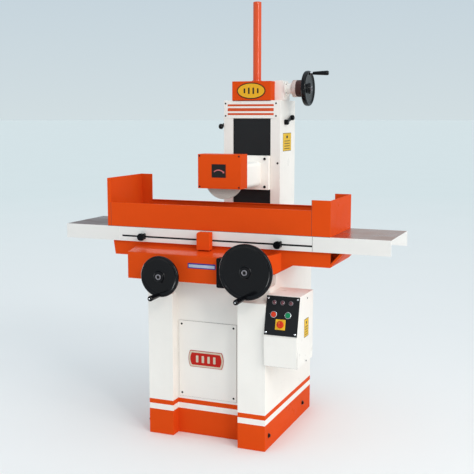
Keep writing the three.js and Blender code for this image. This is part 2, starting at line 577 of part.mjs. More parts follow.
// ---- longitudinal traverse ----------------------------------------------
function pinionOutline(module, teeth, shaftX, shaftZ) {
  const r = (module * teeth) / 2;
  const half = (Math.PI / teeth) * 0.4;
  const flank = THREE.MathUtils.degToRad(20);
  const out = [];
  for (let i = 0; i < teeth; i += 1) {
    const mid = Math.PI / 2 + (2 * Math.PI * i) / teeth;
    const at = (rr, side) => {
      const spread = half - ((rr - r) / r) * Math.tan(flank) * 1.35;
      return [shaftX + rr * Math.cos(mid + side * spread), shaftZ + rr * Math.sin(mid + side * spread)];
    };
    out.push(at(r - 1.25 * module, -1), at(r, -1), at(r + module, -1), at(r + module, 1), at(r, 1),
      at(r - 1.25 * module, 1));
  }
  return out;
}
{
  const at = [TRAV.x, TRAV.z];
  const m = RACK.module;
  const dialY = APRON.y - 2 * GAP - 36;
  const shaft = join(
    turned('y', at, 0, 1, [
      [0, WHEEL_Y - HUB - 2], [10, WHEEL_Y - HUB - 2], [10, dialY - 34], [34, dialY - 34],
      [TRAV.dial, dialY - 20], [TRAV.dial, dialY], [10, dialY], [10, RACK.y + RACK.w / 2],
      [0, RACK.y + RACK.w / 2],
    ], 20),
    prism('y', pinionOutline(m, RACK.teeth, TRAV.x, TRAV.z), RACK.y - RACK.w / 2, RACK.y + RACK.w / 2),
  );
  put('traverse_shaft', shaft, 'steel');
  handwheelWithGrip('traverse', 'y', at, WHEEL_Y, -1, TRAV.r, 10.3, 28, [TRAV.x, TRAV.z - 121],
    GRIP.traverse);

  // rack: a space of the rack sits over the pinion tooth that points straight up
  const pitch = Math.PI * m;
  const line = TRAV.z + (m * RACK.teeth) / 2;
  const outline = [[RACK.x0, TABLE.z0 - GAP], [RACK.x0, line + 1.25 * m]];
  const first = Math.ceil((RACK.x0 + 4 - TRAV.x) / pitch);
  const last = Math.floor((RACK.x1 - 4 - TRAV.x) / pitch);
  for (let i = first; i < last; i += 1) {
    const mid = TRAV.x + (i + 0.5) * pitch;
    const lean = Math.tan(THREE.MathUtils.degToRad(20)) * m;
    const w = pitch * 0.21;
    outline.push([mid - w - lean * 1.25, line + 1.25 * m], [mid - w + lean, line - m],
      [mid + w - lean, line - m], [mid + w + lean * 1.25, line + 1.25 * m]);
  }
  outline.push([RACK.x1, line + 1.25 * m], [RACK.x1, TABLE.z0 - GAP]);
  put('table_rack', prism('y', outline, RACK.y - RACK.w / 2, RACK.y + RACK.w / 2), 'steel');
}

// ---- table, trays, dogs and splash guard --------------------------------
{
  const { x0, x1, y0, y1, back, z0, z1 } = TABLE;
  let table = box(x0, x1, y0, y1, z0, z1);
  table = join(
    table,
    box(x0, x1, y1 - 1, back, z0, z0 + 14),
    box(x0, x1, back - 10, back, z0, z1),
    prism('x', [[-267, z0 + 1], [-267, z0], [-245, z0 - 21], [-223, z0], [-223, z0 + 1]], x0, x1),
    box(x0, x1, -95, -45, z0 - 12, z0 + 1),
  );
  const grooveZ = [GROOVE.z - GROOVE.h / 2, GROOVE.z + GROOVE.h / 2];
  table = cut(table, box(x0 + 14, x1 + 1, y0 - 1, y0 + GROOVE.d, ...grooveZ));
  for (const y of TEE.y) {
    table = cut(
      table,
      box(x0 - 1, x1 + 1, y - TEE.neck, y + TEE.neck, z1 - 20, z1 + 1),
      box(x0 - 1, x1 + 1, y - TEE.foot, y + TEE.foot, z1 - 30, z1 - 18),
    );
  }
  put('table', table, 'tray');

  for (const [name, a, b, tail] of [['left', TRAY.x0, x0 - GAP, -1], ['right', x1 + GAP, TRAY.x1, 1]]) {
    const inner = tail < 0 ? [a + SHEET, b + 1] : [a - 1, b - SHEET];
    const end = tail < 0 ? [a - 1, a + SHEET + 1] : [b - SHEET - 1, b + 1];
    const tray = cut(
      box(a, b, y0, back, z0, z1),
      box(...inner, y0 + SHEET, back - SHEET, z0 - 2, z1 - SHEET),
      prism('x', [[y0 + SHEET, z0 - 1], [back - SHEET, z0 - 1], [y0 + SHEET, z1 - END_RISE]], ...end),
    );
    put(`${name}_tray`, tray, 'tray');
  }

  DOG_X.forEach((x, i) => {
    const dog = join(
      box(x - 17, x + 17, y0 - GAP - 16, y0 - GAP, GROOVE.z - 11, GROOVE.z + 11),
      cyl('y', [x, GROOVE.z], 19, y0 - GAP - 30, y0 - GAP - 15, 16),
      box(x - 10, x + 10, y0 - GAP - 1, y0 + GROOVE.d - 1, GROOVE.z - 4, GROOVE.z + 4),
      cyl('y', [x + 12, GROOVE.z + 12], 6, y0 - GAP - 20, y0 - GAP - 1, 10),
    );
    put(i === 0 ? 'stop_dog_left' : 'stop_dog_right', dog, 'black');
  });

  const s = SPLASH;
  const lift = z1 + GAP;
  const t = SHEET;
  put('splash_guard_left', join(
    box(s.x0, s.x0 + t, y0, back, lift, s.left),
    box(s.x0, s.x0 + s.returns[0], back - t, back, lift, s.left),
    box(s.x0, s.x0 + 20, y0, y0 + t, lift, s.left),
    box(s.x0, s.x0 + 20, y0, back, lift, lift + t),
  ), 'orange');
  const fx = [s.x0 + 20 + GAP, 519];
  put('splash_guard_front', join(
    box(...fx, y0, y0 + t, lift, s.front),
    box(...fx, y0, y0 + 24, lift, lift + t),
    box(...fx, y0, y0 + 12, s.front - t, s.front),
  ), 'orange');
  const bx = [s.x0 + s.returns[0] + GAP, s.x1 - s.returns[1] - GAP];
  put('splash_guard_back', join(
    box(...bx, back - t, back, lift, s.back),
    box(...bx, back - 24, back, lift, lift + t),
    box(...bx, back - 12, back, s.back - t, s.back),
  ), 'orange');
  put('splash_guard_right', join(
    box(fx[1] + GAP, s.x1, y0, y0 + t, lift, s.right),
    box(s.x1 - t, s.x1, y0, back, lift, s.right),
    box(s.x1 - s.returns[1], s.x1, back - t, back, lift, s.right),
    box(s.x1 - 13, s.x1, y0, back, lift, lift + t),
  ), 'orange');
}

// ---- clamps of the vertical slide ---------------------------------------
for (const [name, side] of [['right', 1], ['left', -1]]) {
  const base = side * (COL.halfW + GAP);
  // the right arm points back and up, the left arm forward and down
  const slope = THREE.MathUtils.degToRad(LEVER.rise);
  const along = [side * Math.cos(slope), side * Math.sin(slope)];
  const knob = along.map((v, i) => CLAMP[i] + v * LEVER.reach);
  const edge = [-along[1] * LEVER.arm, along[0] * LEVER.arm];
  const arm = [
    [CLAMP[0] + edge[0], CLAMP[1] + edge[1]], [CLAMP[0] - edge[0], CLAMP[1] - edge[1]],
    [knob[0] - edge[0], knob[1] - edge[1]], [knob[0] + edge[0], knob[1] + edge[1]],
  ];
  const faces = [base + side * 6, base + side * 15];
  const lever = join(
    turned('x', CLAMP, base, side, [[0, -11], [8, -11], [8, 0], [15, 0], [15, 18], [11, 22], [0, 22]], 16),
    prism('x', side > 0 ? arm : arm.reverse(), Math.min(...faces), Math.max(...faces)),
    turned('x', knob, base + side * 3, side, [[0, 0], [11, 1], [15, 6], [15, 17], [10, 22], [0, 22]], 16),
  );
  put(`clamp_lever_${name}`, lever, 'black');
}

export default group;
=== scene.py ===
import json
import math

import bmesh
import bpy
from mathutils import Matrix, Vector


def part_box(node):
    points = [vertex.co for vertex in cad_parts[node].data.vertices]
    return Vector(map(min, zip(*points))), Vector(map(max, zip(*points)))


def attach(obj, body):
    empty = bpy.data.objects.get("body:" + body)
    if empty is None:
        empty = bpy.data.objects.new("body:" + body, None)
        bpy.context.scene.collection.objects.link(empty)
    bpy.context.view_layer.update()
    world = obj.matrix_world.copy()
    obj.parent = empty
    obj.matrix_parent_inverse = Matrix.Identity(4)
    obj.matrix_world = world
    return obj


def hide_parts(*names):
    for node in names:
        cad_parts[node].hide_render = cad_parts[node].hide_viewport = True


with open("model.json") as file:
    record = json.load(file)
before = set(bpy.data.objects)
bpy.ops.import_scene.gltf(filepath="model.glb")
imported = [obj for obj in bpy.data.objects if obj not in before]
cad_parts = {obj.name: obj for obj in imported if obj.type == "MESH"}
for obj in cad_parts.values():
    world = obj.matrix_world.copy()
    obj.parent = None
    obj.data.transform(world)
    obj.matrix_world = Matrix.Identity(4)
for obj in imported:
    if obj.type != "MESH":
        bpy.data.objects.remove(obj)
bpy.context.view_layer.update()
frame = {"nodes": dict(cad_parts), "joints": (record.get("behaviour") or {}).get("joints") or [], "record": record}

# Column-type surface grinder. Metres, +Z up, front towards -Y, +X to the operator's right.
MM = 0.001
X, Y, Z = Vector((1, 0, 0)), Vector((0, 1, 0)), Vector((0, 0, 1))
NODES = frame["nodes"]
BODIES = frame["record"]["behaviour"]["bodies"]
BODY_OF = {node: body for body, nodes in BODIES.items() for node in nodes}
SLOT_OF = {part["node"]: part["material_slot"] for part in frame["record"]["subparts"]}
JOINTS = {joint["name"]: joint for joint in frame["joints"]}


# ---- shaders --------------------------------------------------------------
def srgb(red, green, blue):
    """a colour given as 0 to 255 display values, in the linear form shaders take"""
    values = [v / 255 for v in (red, green, blue)]
    linear = [v / 12.92 if v <= 0.04045 else ((v + 0.055) / 1.055) ** 2.4 for v in values]
    return (*linear, 1.0)


class Shader:
    """A material built step by step around one Principled shader."""

    def __init__(self, name, **fixed):
        self.material = bpy.data.materials.new(name)
        self.material.use_nodes = True
        self.tree = self.material.node_tree
        self.surface = self.tree.nodes["Principled BSDF"]
        self.set(**fixed)
        self.place = self.add("ShaderNodeTexCoord").outputs["Object"]

    def add(self, kind, sockets=None, **settings):
        """a node with its settings; sockets maps an input's name or index to a value or an output"""
        node = self.tree.nodes.new(kind)
        for key, value in settings.items():
            setattr(node, key, value)
        for key, value in (sockets or {}).items():
            self.feed(node.inputs[key], value)
        return node

    def feed(self, socket, value):
        if isinstance(value, bpy.types.NodeSocket):
            self.tree.links.new(value, socket)
        else:
            socket.default_value = value

    def set(self, **sockets):
        """feeds the Principled shader: Base_Color, Roughness, Metallic and so on"""
        for key, value in sockets.items():
            self.feed(self.surface.inputs[key.replace("_", " ")], value)

    def noise(self, scale, detail=2.0, rough=0.5, stretch=None):
        place = self.place
        if stretch:
            place = self.add("ShaderNodeMapping", {"Vector": place, "Scale": stretch}).outputs[0]
        return self.add("ShaderNodeTexNoise", {
            "Vector": place, "Scale": scale, "Detail": detail, "Roughness": rough,
        }).outputs["Fac"]

    def spread(self, value, low, high, to_low, to_high):
        return self.add("ShaderNodeMapRange", {
            "Value": value, "From Min": low, "From Max": high, "To Min": to_low, "To Max": to_high,
        }).outputs["Result"]

    def mix(self, factor, a, b):
        return self.add("ShaderNodeMix", {0: factor, 6: a, 7: b}, data_type="RGBA").outputs[2]

    def toned(self, colour, value):
        """the colour with its lightness multiplied by value"""
        return self.add("ShaderNodeHueSaturation", {"Color": colour, "Value": value}).outputs[0]

    def axis(self, index):
        return self.add("ShaderNodeSeparateXYZ", {0: self.place}).outputs[index]

    def steps(self, factor, stops):
        """hard-edged bands: each stop is (where it starts, colour)"""
        node = self.add("ShaderNodeValToRGB", {0: factor})
        ramp = node.color_ramp
        ramp.interpolation = "CONSTANT"
        for position, colour in stops[2:]:
            ramp.elements.new(position).color = colour
        for element, (position, colour) in zip(ramp.elements, stops):
            element.position = position
            element.color = colour
        return node.outputs[0]

    def bump(self, height, strength, distance, below=None):
        sockets = {"Height": height, "Strength": strength, "Distance": distance}
        if below:
            sockets["Normal"] = below
        normal = self.add("ShaderNodeBump", sockets).outputs[0]
        self.set(Normal=normal)
        return normal


def enamel(name, colour, roughness=0.3, chips=0.0, under=(0.3, 0.3, 0.3, 1), bands=None, **fixed):
    """Sprayed gloss enamel: slow tone drift, hand smudges in the gloss, orange peel, chips on edges."""
    s = Shader(name, **{"Coat_Weight": 0.06, "Coat_Roughness": 0.08, "Coat_IOR": 1.3, "IOR": 1.17, **fixed})
    body = s.steps(s.spread(s.axis(2), 0, BAND_TOP, 0, 1), bands) if bands else colour
    body = s.toned(body, s.spread(s.noise(2.3, 4, 0.55), 0.3, 0.7, 0.95, 1.03))
    dust = s.spread(s.noise(38, 9, 0.72), 0.5, 0.85, 0, 0.1)
    body = s.mix(dust, body, s.toned(body, 0.86))
    if chips:
        chipped = s.spread(s.noise(110, 8, 0.7), 0.7 - chips, 0.74 - chips, 0, 0.8)
        body = s.mix(s.spread(s.noise(9, 5, 0.6), 0.3, 0.7, 0.05, 0.3), body, s.toned(body, 1.22))
        body = s.mix(chipped, body, under)
    handled = s.noise(17, 7, 0.62)
    s.set(Base_Color=body, Roughness=s.spread(handled, 0.3, 0.75, roughness - 0.05, roughness + 0.13))
    waves = s.bump(s.noise(26, 2), 0.06, 1.2 * MM)
    s.bump(s.noise(520, 2, 0.45), 0.09, 0.25 * MM, waves)
    return s.material


def metal(name, colour, roughness, grain=(1, 1, 1), lines=300, depth=0.1, stain=0.1, **fixed):
    """Bare machined metal: fine tool lines along the long side of the grain, oil stains in the gloss."""
    s = Shader(name, Metallic=1.0, **fixed)
    marks = s.noise(lines, 4, 0.6, stretch=grain)
    oil = s.noise(6, 6, 0.6)
    body = s.toned(colour, s.spread(marks, 0.25, 0.75, 0.86, 1.08))
    body = s.mix(s.spread(oil, 0.5, 0.75, 0, stain * 2), body, s.toned(body, 0.62))
    s.set(Base_Color=body, Roughness=s.spread(oil, 0.3, 0.7, roughness - 0.06, roughness + 0.12))
    s.bump(marks, depth, 0.12 * MM)
    return s.material


def plastic(name, colour, roughness, grain=240, depth=0.05, **fixed):
    """Moulded plastic or bakelite: a faint skin grain and a gloss that handling has dulled in places."""
    s = Shader(name, **{"IOR": 1.3, **fixed})
    handled = s.noise(21, 6, 0.6)
    s.set(Base_Color=s.toned(colour, s.spread(handled, 0.3, 0.7, 0.9, 1.1)),
          Roughness=s.spread(handled, 0.3, 0.75, roughness - 0.04, roughness + 0.14))
    s.bump(s.noise(grain, 3), depth, 0.2 * MM)
    return s.material


def abrasive_grit():
    """Vitrified white abrasive: packed grains with open pores, a little swarf in them."""
    s = Shader("abrasive_grit", Roughness=0.93, Specular_IOR_Level=0.2)
    grains = s.add("ShaderNodeTexVoronoi", {"Vector": s.place, "Scale": 900.0}).outputs["Distance"]
    pores = s.noise(380, 4, 0.7)
    body = s.mix(s.spread(grains, 0.1, 0.7, 0, 1), srgb(236, 231, 222), srgb(196, 190, 180))
    s.set(Base_Color=s.mix(s.spread(pores, 0.58, 0.7, 0, 0.6), body, srgb(120, 114, 108)))
    s.bump(grains, 0.5, 0.4 * MM)
    return s.material


def screw_thread(name, along, pitch, colour):
    """Turned steel with its thread as ridges along one axis."""
    s = Shader(name, Metallic=1.0, Roughness=0.28)
    turns = s.add("ShaderNodeMath", {0: s.axis(along), 1: 2 * math.pi / pitch}, operation="MULTIPLY")
    ridge = s.add("ShaderNodeMath", {0: turns.outputs[0]}, operation="SINE").outputs[0]
    s.set(Base_Color=s.toned(colour, s.spread(ridge, -1, 1, 0.6, 1.05)))
    s.bump(ridge, 0.8, 1.2 * MM)
    return s.material


def lens(name, colour):
    """Tinted clear cap of an unlit signal lamp, moulded with fine rings."""
    s = Shader(name, Roughness=0.12, Transmission_Weight=0.45, IOR=1.49, Coat_Weight=0.6)
    s.set(Base_Color=s.toned(colour, s.spread(s.noise(160, 3), 0.3, 0.7, 0.8, 1.2)))
    s.bump(s.noise(420, 2), 0.15, 0.3 * MM)
    return s.material


ORANGE = srgb(226, 78, 24)
CREAM = srgb(247, 241, 234)
STEEL = srgb(186, 187, 190)
BLACK = srgb(14, 14, 17)
PRIMER = srgb(150, 146, 140)
BAND_TOP = 0.25    # height that the bands' colour ramp covers, m
BASE_BANDS = [(start / BAND_TOP, colour) for start, colour in (
    (0, ORANGE), (0.130, CREAM), (0.160, ORANGE), (0.184, CREAM))]

# shader inputs that keep the tone of large faces even
DULL = {"IOR": 1.1, "Specular_IOR_Level": 0.12, "Coat_Weight": 0.02}
ORANGE_PAINT = enamel("orange_enamel", ORANGE, **DULL)
ORANGE_EDGE = enamel("orange_enamel_edge", ORANGE, chips=0.035, under=PRIMER, **DULL)
TUBE_PAINT = enamel("tube_enamel", ORANGE, roughness=0.1, IOR=1.4, Coat_Weight=0.6, Coat_Roughness=0.03)
ORANGE_DECK = enamel("orange_deck", ORANGE, roughness=0.12, IOR=1.5)
HEAD_PAINT = enamel("head_enamel", srgb(255, 251, 244))
HEAD_EDGE = enamel("head_enamel_edge", srgb(255, 251, 244), chips=0.02, under=PRIMER)
CREAM_PAINT = enamel("cream_enamel", CREAM)
CREAM_EDGE = enamel("cream_enamel_edge", CREAM, chips=0.035, under=PRIMER)
BASE_PAINT = enamel("banded_enamel", CREAM, bands=BASE_BANDS, **DULL)
BASE_EDGE = enamel("banded_enamel_edge", CREAM, bands=BASE_BANDS, chips=0.035, under=PRIMER, **DULL)
WHITE_PAINT = enamel("white_enamel", srgb(236, 231, 226), roughness=0.36)
WHITE_EDGE = enamel("white_enamel_edge", srgb(242, 238, 233), roughness=0.36, chips=0.02, under=STEEL)
BLACK_PAINT = enamel("black_enamel", BLACK, roughness=0.2)
BLACK_EDGE = enamel("black_enamel_edge", BLACK, roughness=0.2, chips=0.02, under=srgb(90, 90, 92))
RED_ENAMEL = enamel("red_enamel", srgb(190, 38, 30))
YELLOW_ENAMEL = enamel("yellow_enamel", srgb(236, 176, 44))
WAY_SHEET = plastic("black_way_sheet", srgb(26, 27, 29), 0.5, grain=900, depth=0.2)
BAKELITE = plastic("black_bakelite", srgb(11, 11, 14), 0.16, IOR=1.22, Coat_Weight=0.15, Coat_Roughness=0.06)
PANEL_BLACK = plastic("black_panel", srgb(24, 24, 26), 0.38, grain=600, depth=0.12)
RED_PLASTIC = plastic("red_plastic", srgb(214, 62, 34), 0.25)
GREEN_PLASTIC = plastic("green_plastic", srgb(22, 132, 84), 0.25)
YELLOW_PLASTIC = plastic("yellow_plastic", srgb(240, 186, 40), 0.35)
# grey line round the covers: partly the joint's gap, partly a painted shadow of the cover's edge
SEAM_AND_SHADOW = plastic("grey_seam_painted_shadow", srgb(140, 135, 131), 0.6)
JOINT_LINE = plastic("joint_line", srgb(70, 62, 60), 0.6)
LABEL_YELLOW = plastic("yellow_label", srgb(232, 186, 40), 0.45)
LABEL_SILVER = plastic("silver_label", srgb(186, 190, 206), 0.35)
LABEL_BLUE = plastic("blue_print", srgb(44, 52, 140), 0.4)
LABEL_SAND = plastic("sand_print", srgb(214, 198, 176), 0.4)
LABEL_RED = plastic("red_print", srgb(206, 110, 110), 0.45)
LABEL_BLACK = plastic("black_print", srgb(28, 24, 24), 0.45)
LABEL_ORANGE = plastic("orange_print", srgb(214, 82, 36), 0.45)
GROUND_STEEL = metal("ground_steel", STEEL, 0.24, grain=(0.05, 1, 1), lines=500)
TRAY_STEEL = metal("tray_steel", srgb(200, 158, 140), 0.3, grain=(0.06, 1, 1), lines=420, depth=0.06)
# darker copy of the tray steel for the left tray's top: painted shade on the same steel as the right tray
SHADED_TRAY_STEEL = metal("tray_steel_painted_shade", srgb(126, 96, 88), 0.3, grain=(0.06, 1, 1), lines=420, depth=0.06)
TURNED_STEEL = metal("turned_steel", srgb(200, 198, 196), 0.22, grain=(1, 0.2, 1), lines=260)
CHROME = metal("chrome", srgb(226, 226, 228), 0.1, lines=120, depth=0.02, stain=0.03)
BLACK_OXIDE = metal("black_oxide_screw", srgb(44, 42, 42), 0.36, lines=500)
CAST_IRON = metal("machined_cast_iron", srgb(120, 122, 126), 0.45, lines=700, depth=0.25)
COLLAR_BROWN = metal("blackened_collar", srgb(84, 58, 56), 0.4, lines=500)
SATIN_STEEL = metal("satin_steel", srgb(226, 204, 197), 0.5, lines=500)
RING_STEEL = metal("ring_steel", srgb(150, 145, 150), 0.35, lines=400)
BRONZE = metal("bronze", srgb(190, 148, 84), 0.3, lines=500)
CROSS_THREAD = screw_thread("cross_screw_thread", 1, 5 * MM, STEEL)
LIFT_THREAD = screw_thread("lift_screw_thread", 2, 4 * MM, STEEL)
GRIT = abrasive_grit()
LAMP_LENS = lens("lamp_lens", srgb(128, 62, 72))


# ---- mesh helpers ---------------------------------------------------------
def mm(*points):
    """points given in mm, in metres"""
    return [(a * MM, b * MM) for a, b in points]


def frame_axes(along):
    """two directions square to along, with along as their cross product"""
    along = Vector(along).normalized()
    side = (Z if abs(along.z) < 0.9 else X).cross(along).normalized()
    return along, side, along.cross(side)


def rounded(points, radius, steps=4, closed=True):
    """the outline with each corner turned into an arc, its two ends left alone if it is open"""
    out = []
    count = len(points)
    for i, point in enumerate(points):
        p = Vector(point)
        if not closed and i in (0, count - 1):
            out.append(p)
            continue
        a = Vector(points[i - 1]) - p
        b = Vector(points[(i + 1) % count]) - p
        reach = min(radius, 0.45 * a.length, 0.45 * b.length)
        start = p + a.normalized() * reach
        end = p + b.normalized() * reach
        for k in range(steps + 1):
            t = k / steps
            out.append(start * (1 - t) ** 2 + p * 2 * t * (1 - t) + end * t ** 2)
    return [tuple(p) for p in out]


def turn(bm, origin, along, profile, sides=64, paint=0):
    """Turns [radius, distance] points about an axis. A radius may be a function of the angle."""
    along, side, up = frame_axes(along)
    rings = []
    for radius, distance in profile:
        centre = Vector(origin) + along * distance
        if not callable(radius) and radius < 1e-7:
            rings.append([bm.verts.new(centre)])
            continue
        ring = []
        for i in range(sides):
            angle = 2 * math.pi * i / sides
            r = radius(angle) if callable(radius) else radius
            radial = side * (r * math.cos(angle)) + up * (r * math.sin(angle))
            ring.append(bm.verts.new(centre + radial))
        rings.append(ring)
    pairs = list(zip(rings, rings[1:]))
    if len(rings[0]) > 1:
        pairs.append((rings[-1], rings[0]))
    made = []
    for a, b in pairs:
        for i in range(sides):
            j = (i + 1) % sides
            loop = [a[i % len(a)], a[j % len(a)], b[j % len(b)], b[i % len(b)]]
            loop = list(dict.fromkeys(loop))
            if len(loop) > 2:
                made.append(bm.faces.new(loop))
    for face in made:
        face.material_index = paint


def slab(bm, origin, across, up, outline, thick, soft=0.0, paint=0):
    """A plate with an outline in the across and up directions, standing thick out of its origin plane."""
    across, up = Vector(across).normalized(), Vector(up).normalized()
    out = across.cross(up)
    low = [bm.verts.new(Vector(origin) + across * u + up * v) for u, v in outline]
    high = [bm.verts.new(v.co + out * thick) for v in low]
    made = [bm.faces.new(low[::-1]), bm.faces.new(high)]
    for i in range(len(low)):
        j = (i + 1) % len(low)
        made.append(bm.faces.new((low[i], low[j], high[j], high[i])))
    for face in made:
        face.material_index = paint
    if soft:
        bmesh.ops.bevel(bm, geom=list(made[1].edges), offset=soft, segments=3, profile=0.5, affect="EDGES",
                        clamp_overlap=True, material=-1)


def rectangle(width, height, u=0.0, v=0.0):
    return [(u - width / 2, v - height / 2), (u + width / 2, v - height / 2),
            (u + width / 2, v + height / 2), (u - width / 2, v + height / 2)]


def soft_rectangle(width, height, radius, u=0.0, v=0.0):
    return rounded(rectangle(width, height, u, v), radius, 6)


def barrel(width, height):
    """a plate whose top and bottom are straight and whose ends bulge, with rounded corners"""
    bulge = 0.05 * width
    end = [(width / 2 - bulge * v * v, v * height / 2) for v in [i / 6 - 1 for i in range(13)]]
    outline = end + [(-u, v) for u, v in reversed(end)]
    return rounded(outline, 9 * MM)


def oval(a, b, count=72):
    angles = [2 * math.pi * i / count for i in range(count)]
    return [(a * math.cos(t), b * math.sin(t)) for t in angles]


SHARP_EDGE = math.radians(38)    # edges of a piece that turn further than this stay sharp


def weighted_normals(obj):
    modifier = obj.modifiers.new("weighted_normals", "WEIGHTED_NORMAL")
    modifier.keep_sharp = True


def piece(name, bm, body, materials, slot=None, replaces=()):
    """Makes the mesh an object that rides on a body, and hides the nodes it replaces. The slot is not used."""
    bmesh.ops.recalc_face_normals(bm, faces=bm.faces)
    mesh = bpy.data.meshes.new(name)
    bm.to_mesh(mesh)
    bm.free()
    obj = bpy.data.objects.new(name, mesh)
    bpy.context.scene.collection.objects.link(obj)
    for material in materials:
        mesh.materials.append(material)
    for polygon in mesh.polygons:
        polygon.use_smooth = True
    weighted_normals(obj)
    mesh.set_sharp_from_angle(angle=SHARP_EDGE)
    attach(obj, body)
    if replaces:
        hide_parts(*replaces)
        slot = slot or SLOT_OF[replaces[0]]


def looks_up(centre, normal):
    return normal.z > 0.9


def dress(node, face, edge=None, radius=1.0, extra=None, where=looks_up):
    """Finishes a CAD node: welded, its sharp edges rounded, one material on faces and one on edges.
    extra is a third material, for the faces that a test of their centre and normal picks."""
    obj = NODES[node]
    mesh = obj.data
    mesh.materials.clear()
    for material in (face, edge or face, extra):
        if material:
            mesh.materials.append(material)
    if "custom_normal" in mesh.attributes:
        mesh.attributes.remove(mesh.attributes["custom_normal"])
    for polygon in mesh.polygons:
        polygon.use_smooth = True
        polygon.material_index = 2 if extra and where(polygon.center, polygon.normal) else 0
    weld = obj.modifiers.new("weld", "WELD")
    weld.merge_threshold = 0.02 * MM
    flat = obj.modifiers.new("planar", "DECIMATE")
    flat.decimate_type = "DISSOLVE"
    flat.angle_limit = math.radians(0.4)
    flat.delimit = {"MATERIAL"}
    if radius:
        bevel = obj.modifiers.new("rounded_edges", "BEVEL")
        bevel.width = radius * MM
        bevel.segments = 3
        bevel.limit_method = "ANGLE"
        bevel.angle_limit = math.radians(34)
        bevel.material = 1
    weighted_normals(obj)


def low_of(node):
    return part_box(node)[0]


def high_of(node):
    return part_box(node)[1]


def middle(node):
    low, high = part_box(node)
    return (low + high) / 2


def middle_at(node, y):
    """the middle of a node as seen from the front, at depth y"""
    centre = middle(node)
    return Vector((centre.x, y, centre.z))


def reach(node, direction):
    """how far a node goes in a direction, from the origin of the frame"""
    return max(v.co.dot(direction) for v in NODES[node].data.vertices)


def hexagon(across_flats):
    """radius of a hexagon as a function of the angle"""
    def radius(angle):
        return across_flats / 2 / math.cos((angle + math.pi / 6) % (math.pi / 3) - math.pi / 6)
    return radius


def socket_screw(bm, at, out, head=5.0, height=4.0, paint=0):
    """cap screw with a hexagon socket; head is its radius, in mm"""
    key = hexagon(head * 0.95 * MM)
    r, h = head * MM, height * MM
    rim = 0.12 * r
    turn(bm, at, out, [(0, h * 0.45), (key, h * 0.45), (key, h), (r - rim, h), (r - 0.3 * rim, h - 0.3 * rim),
                       (r, h - rim), (r, -0.2 * MM), (0, -0.2 * MM)], 24, paint)


def pan_screw(bm, at, out, head=4.0, height=2.2):
    """low domed screw head with a hexagon recess"""
    key = hexagon(head * 0.9 * MM)
    r, h = head * MM, height * MM
    dome = [(r * math.cos(t), h * math.sin(t)) for t in [math.radians(a) for a in (60, 45, 30, 15, 0)]]
    recess = [(0, h * 0.4), (key, h * 0.4), (key, h * 0.9)]
    turn(bm, at, out, [*recess, *dome, (r, -0.2 * MM), (0, -0.2 * MM)], 24)


def screws(name, body, places, out, material=BLACK_OXIDE, kind=pan_screw, **size):
    bm = bmesh.new()
    for at in places:
        kind(bm, at, out, **size)
    piece(name, bm, body, [material], slot="ground_steel")


def corners(node, inset_x, inset_z):
    """four points near the corners of a node's front face"""
    low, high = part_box(node)
    return [Vector((x, low.y, z)) for x in (low.x + inset_x, high.x - inset_x)
            for z in (low.z + inset_z, high.z - inset_z)]


def ring_of(count, centre, across, up, radius, start=math.pi / 4):
    """points evenly spaced on a circle in the plane of across and up"""
    angles = [start + i * 2 * math.pi / count for i in range(count)]
    return [centre + (across * math.cos(t) + up * math.sin(t)) * radius for t in angles]


# ---- base -----------------------------------------------------------------
BOLT_ROWS = (-421, 119)    # depths of the levelling bolts, mm
BOLT_HEIGHT = 66    # above the floor, mm
BOLT_SINK = 13.5    # how far inside the base's side a bolt starts, mm


def base():
    dress("base_casting", BASE_PAINT, BASE_EDGE, radius=4)
    dress("front_door_cover", CREAM_PAINT, CREAM_EDGE, radius=0.8)
    screws("door_screws", "frame", corners("front_door_cover", 16 * MM, 18 * MM), -Y, head=5.5)
    seam("door_seam", "front_door_cover", "frame")
    plinth_bolts()
    badge()


def seam(name, node, body):
    """grey line all round a cover: the joint's gap and a painted shadow along the cover's edge"""
    low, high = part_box(node)
    at = Vector(((low.x + high.x) / 2, high.y - 0.1 * MM, (low.z + high.z) / 2))
    outline = rectangle(high.x - low.x + 2 * MM, high.z - low.z + 2 * MM)
    bm = bmesh.new()
    slab(bm, at, X, Z, outline, 1.2 * MM)
    piece(name, bm, body, [SEAM_AND_SHADOW], slot="black_plastic")


def plinth_bolts():
    """levelling bolts in the counterbores low on the sides of the base"""
    low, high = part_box("base_casting")
    bm = bmesh.new()
    shank = mm((0, 0), (10.6, 0), (10.6, 13.7), (0, 13.7))
    washer = rounded(mm((0, 13.6), (13, 13.6), (13, 15), (0, 15)), 0.4 * MM, closed=False)
    for y in BOLT_ROWS:
        for out, x in ((X, high.x), (-X, low.x)):
            at = Vector((x, y * MM, BOLT_HEIGHT * MM)) - out * BOLT_SINK * MM
            turn(bm, at, out, shank, 32)
            turn(bm, at, out, washer, 40)
            socket_screw(bm, at + out * 15 * MM, out, head=8, height=7)
    piece("plinth_bolts", bm, "frame", [BLACK_OXIDE], slot="ground_steel")


def badge():
    """enamelled door plate with plain upright bars"""
    low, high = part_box("door_badge")
    width, height = high.x - low.x, high.z - low.z
    at = middle_at("door_badge", high.y)
    bm = bmesh.new()
    for inset, raised, depth, paint in ((0, 0, 1.6, 1), (2.5, 1.5, 1.2, 0), (11, 2.6, 0.7, 1)):
        outline = barrel(width - 2 * inset * MM, height - 2 * inset * MM)
        slab(bm, at - Y * raised * MM, X, Z, outline, depth * MM, soft=0.3 * MM, paint=paint)
    for u in (-48, -16, 16, 48):
        bar = soft_rectangle(13 * MM, 36 * MM, 3 * MM, u=u * MM)
        slab(bm, at - Y * 3.2 * MM, X, Z, bar, 0.7 * MM, soft=0.2 * MM, paint=0)
    piece("door_badge_plate", bm, "frame", [LABEL_SAND, RED_ENAMEL], replaces=["door_badge"])


# ---- electrical box -------------------------------------------------------
PANEL_OUT = -Vector(JOINTS["start_press"]["axis"]).normalized()
PANEL_UP = X.cross(PANEL_OUT).normalized() * -1


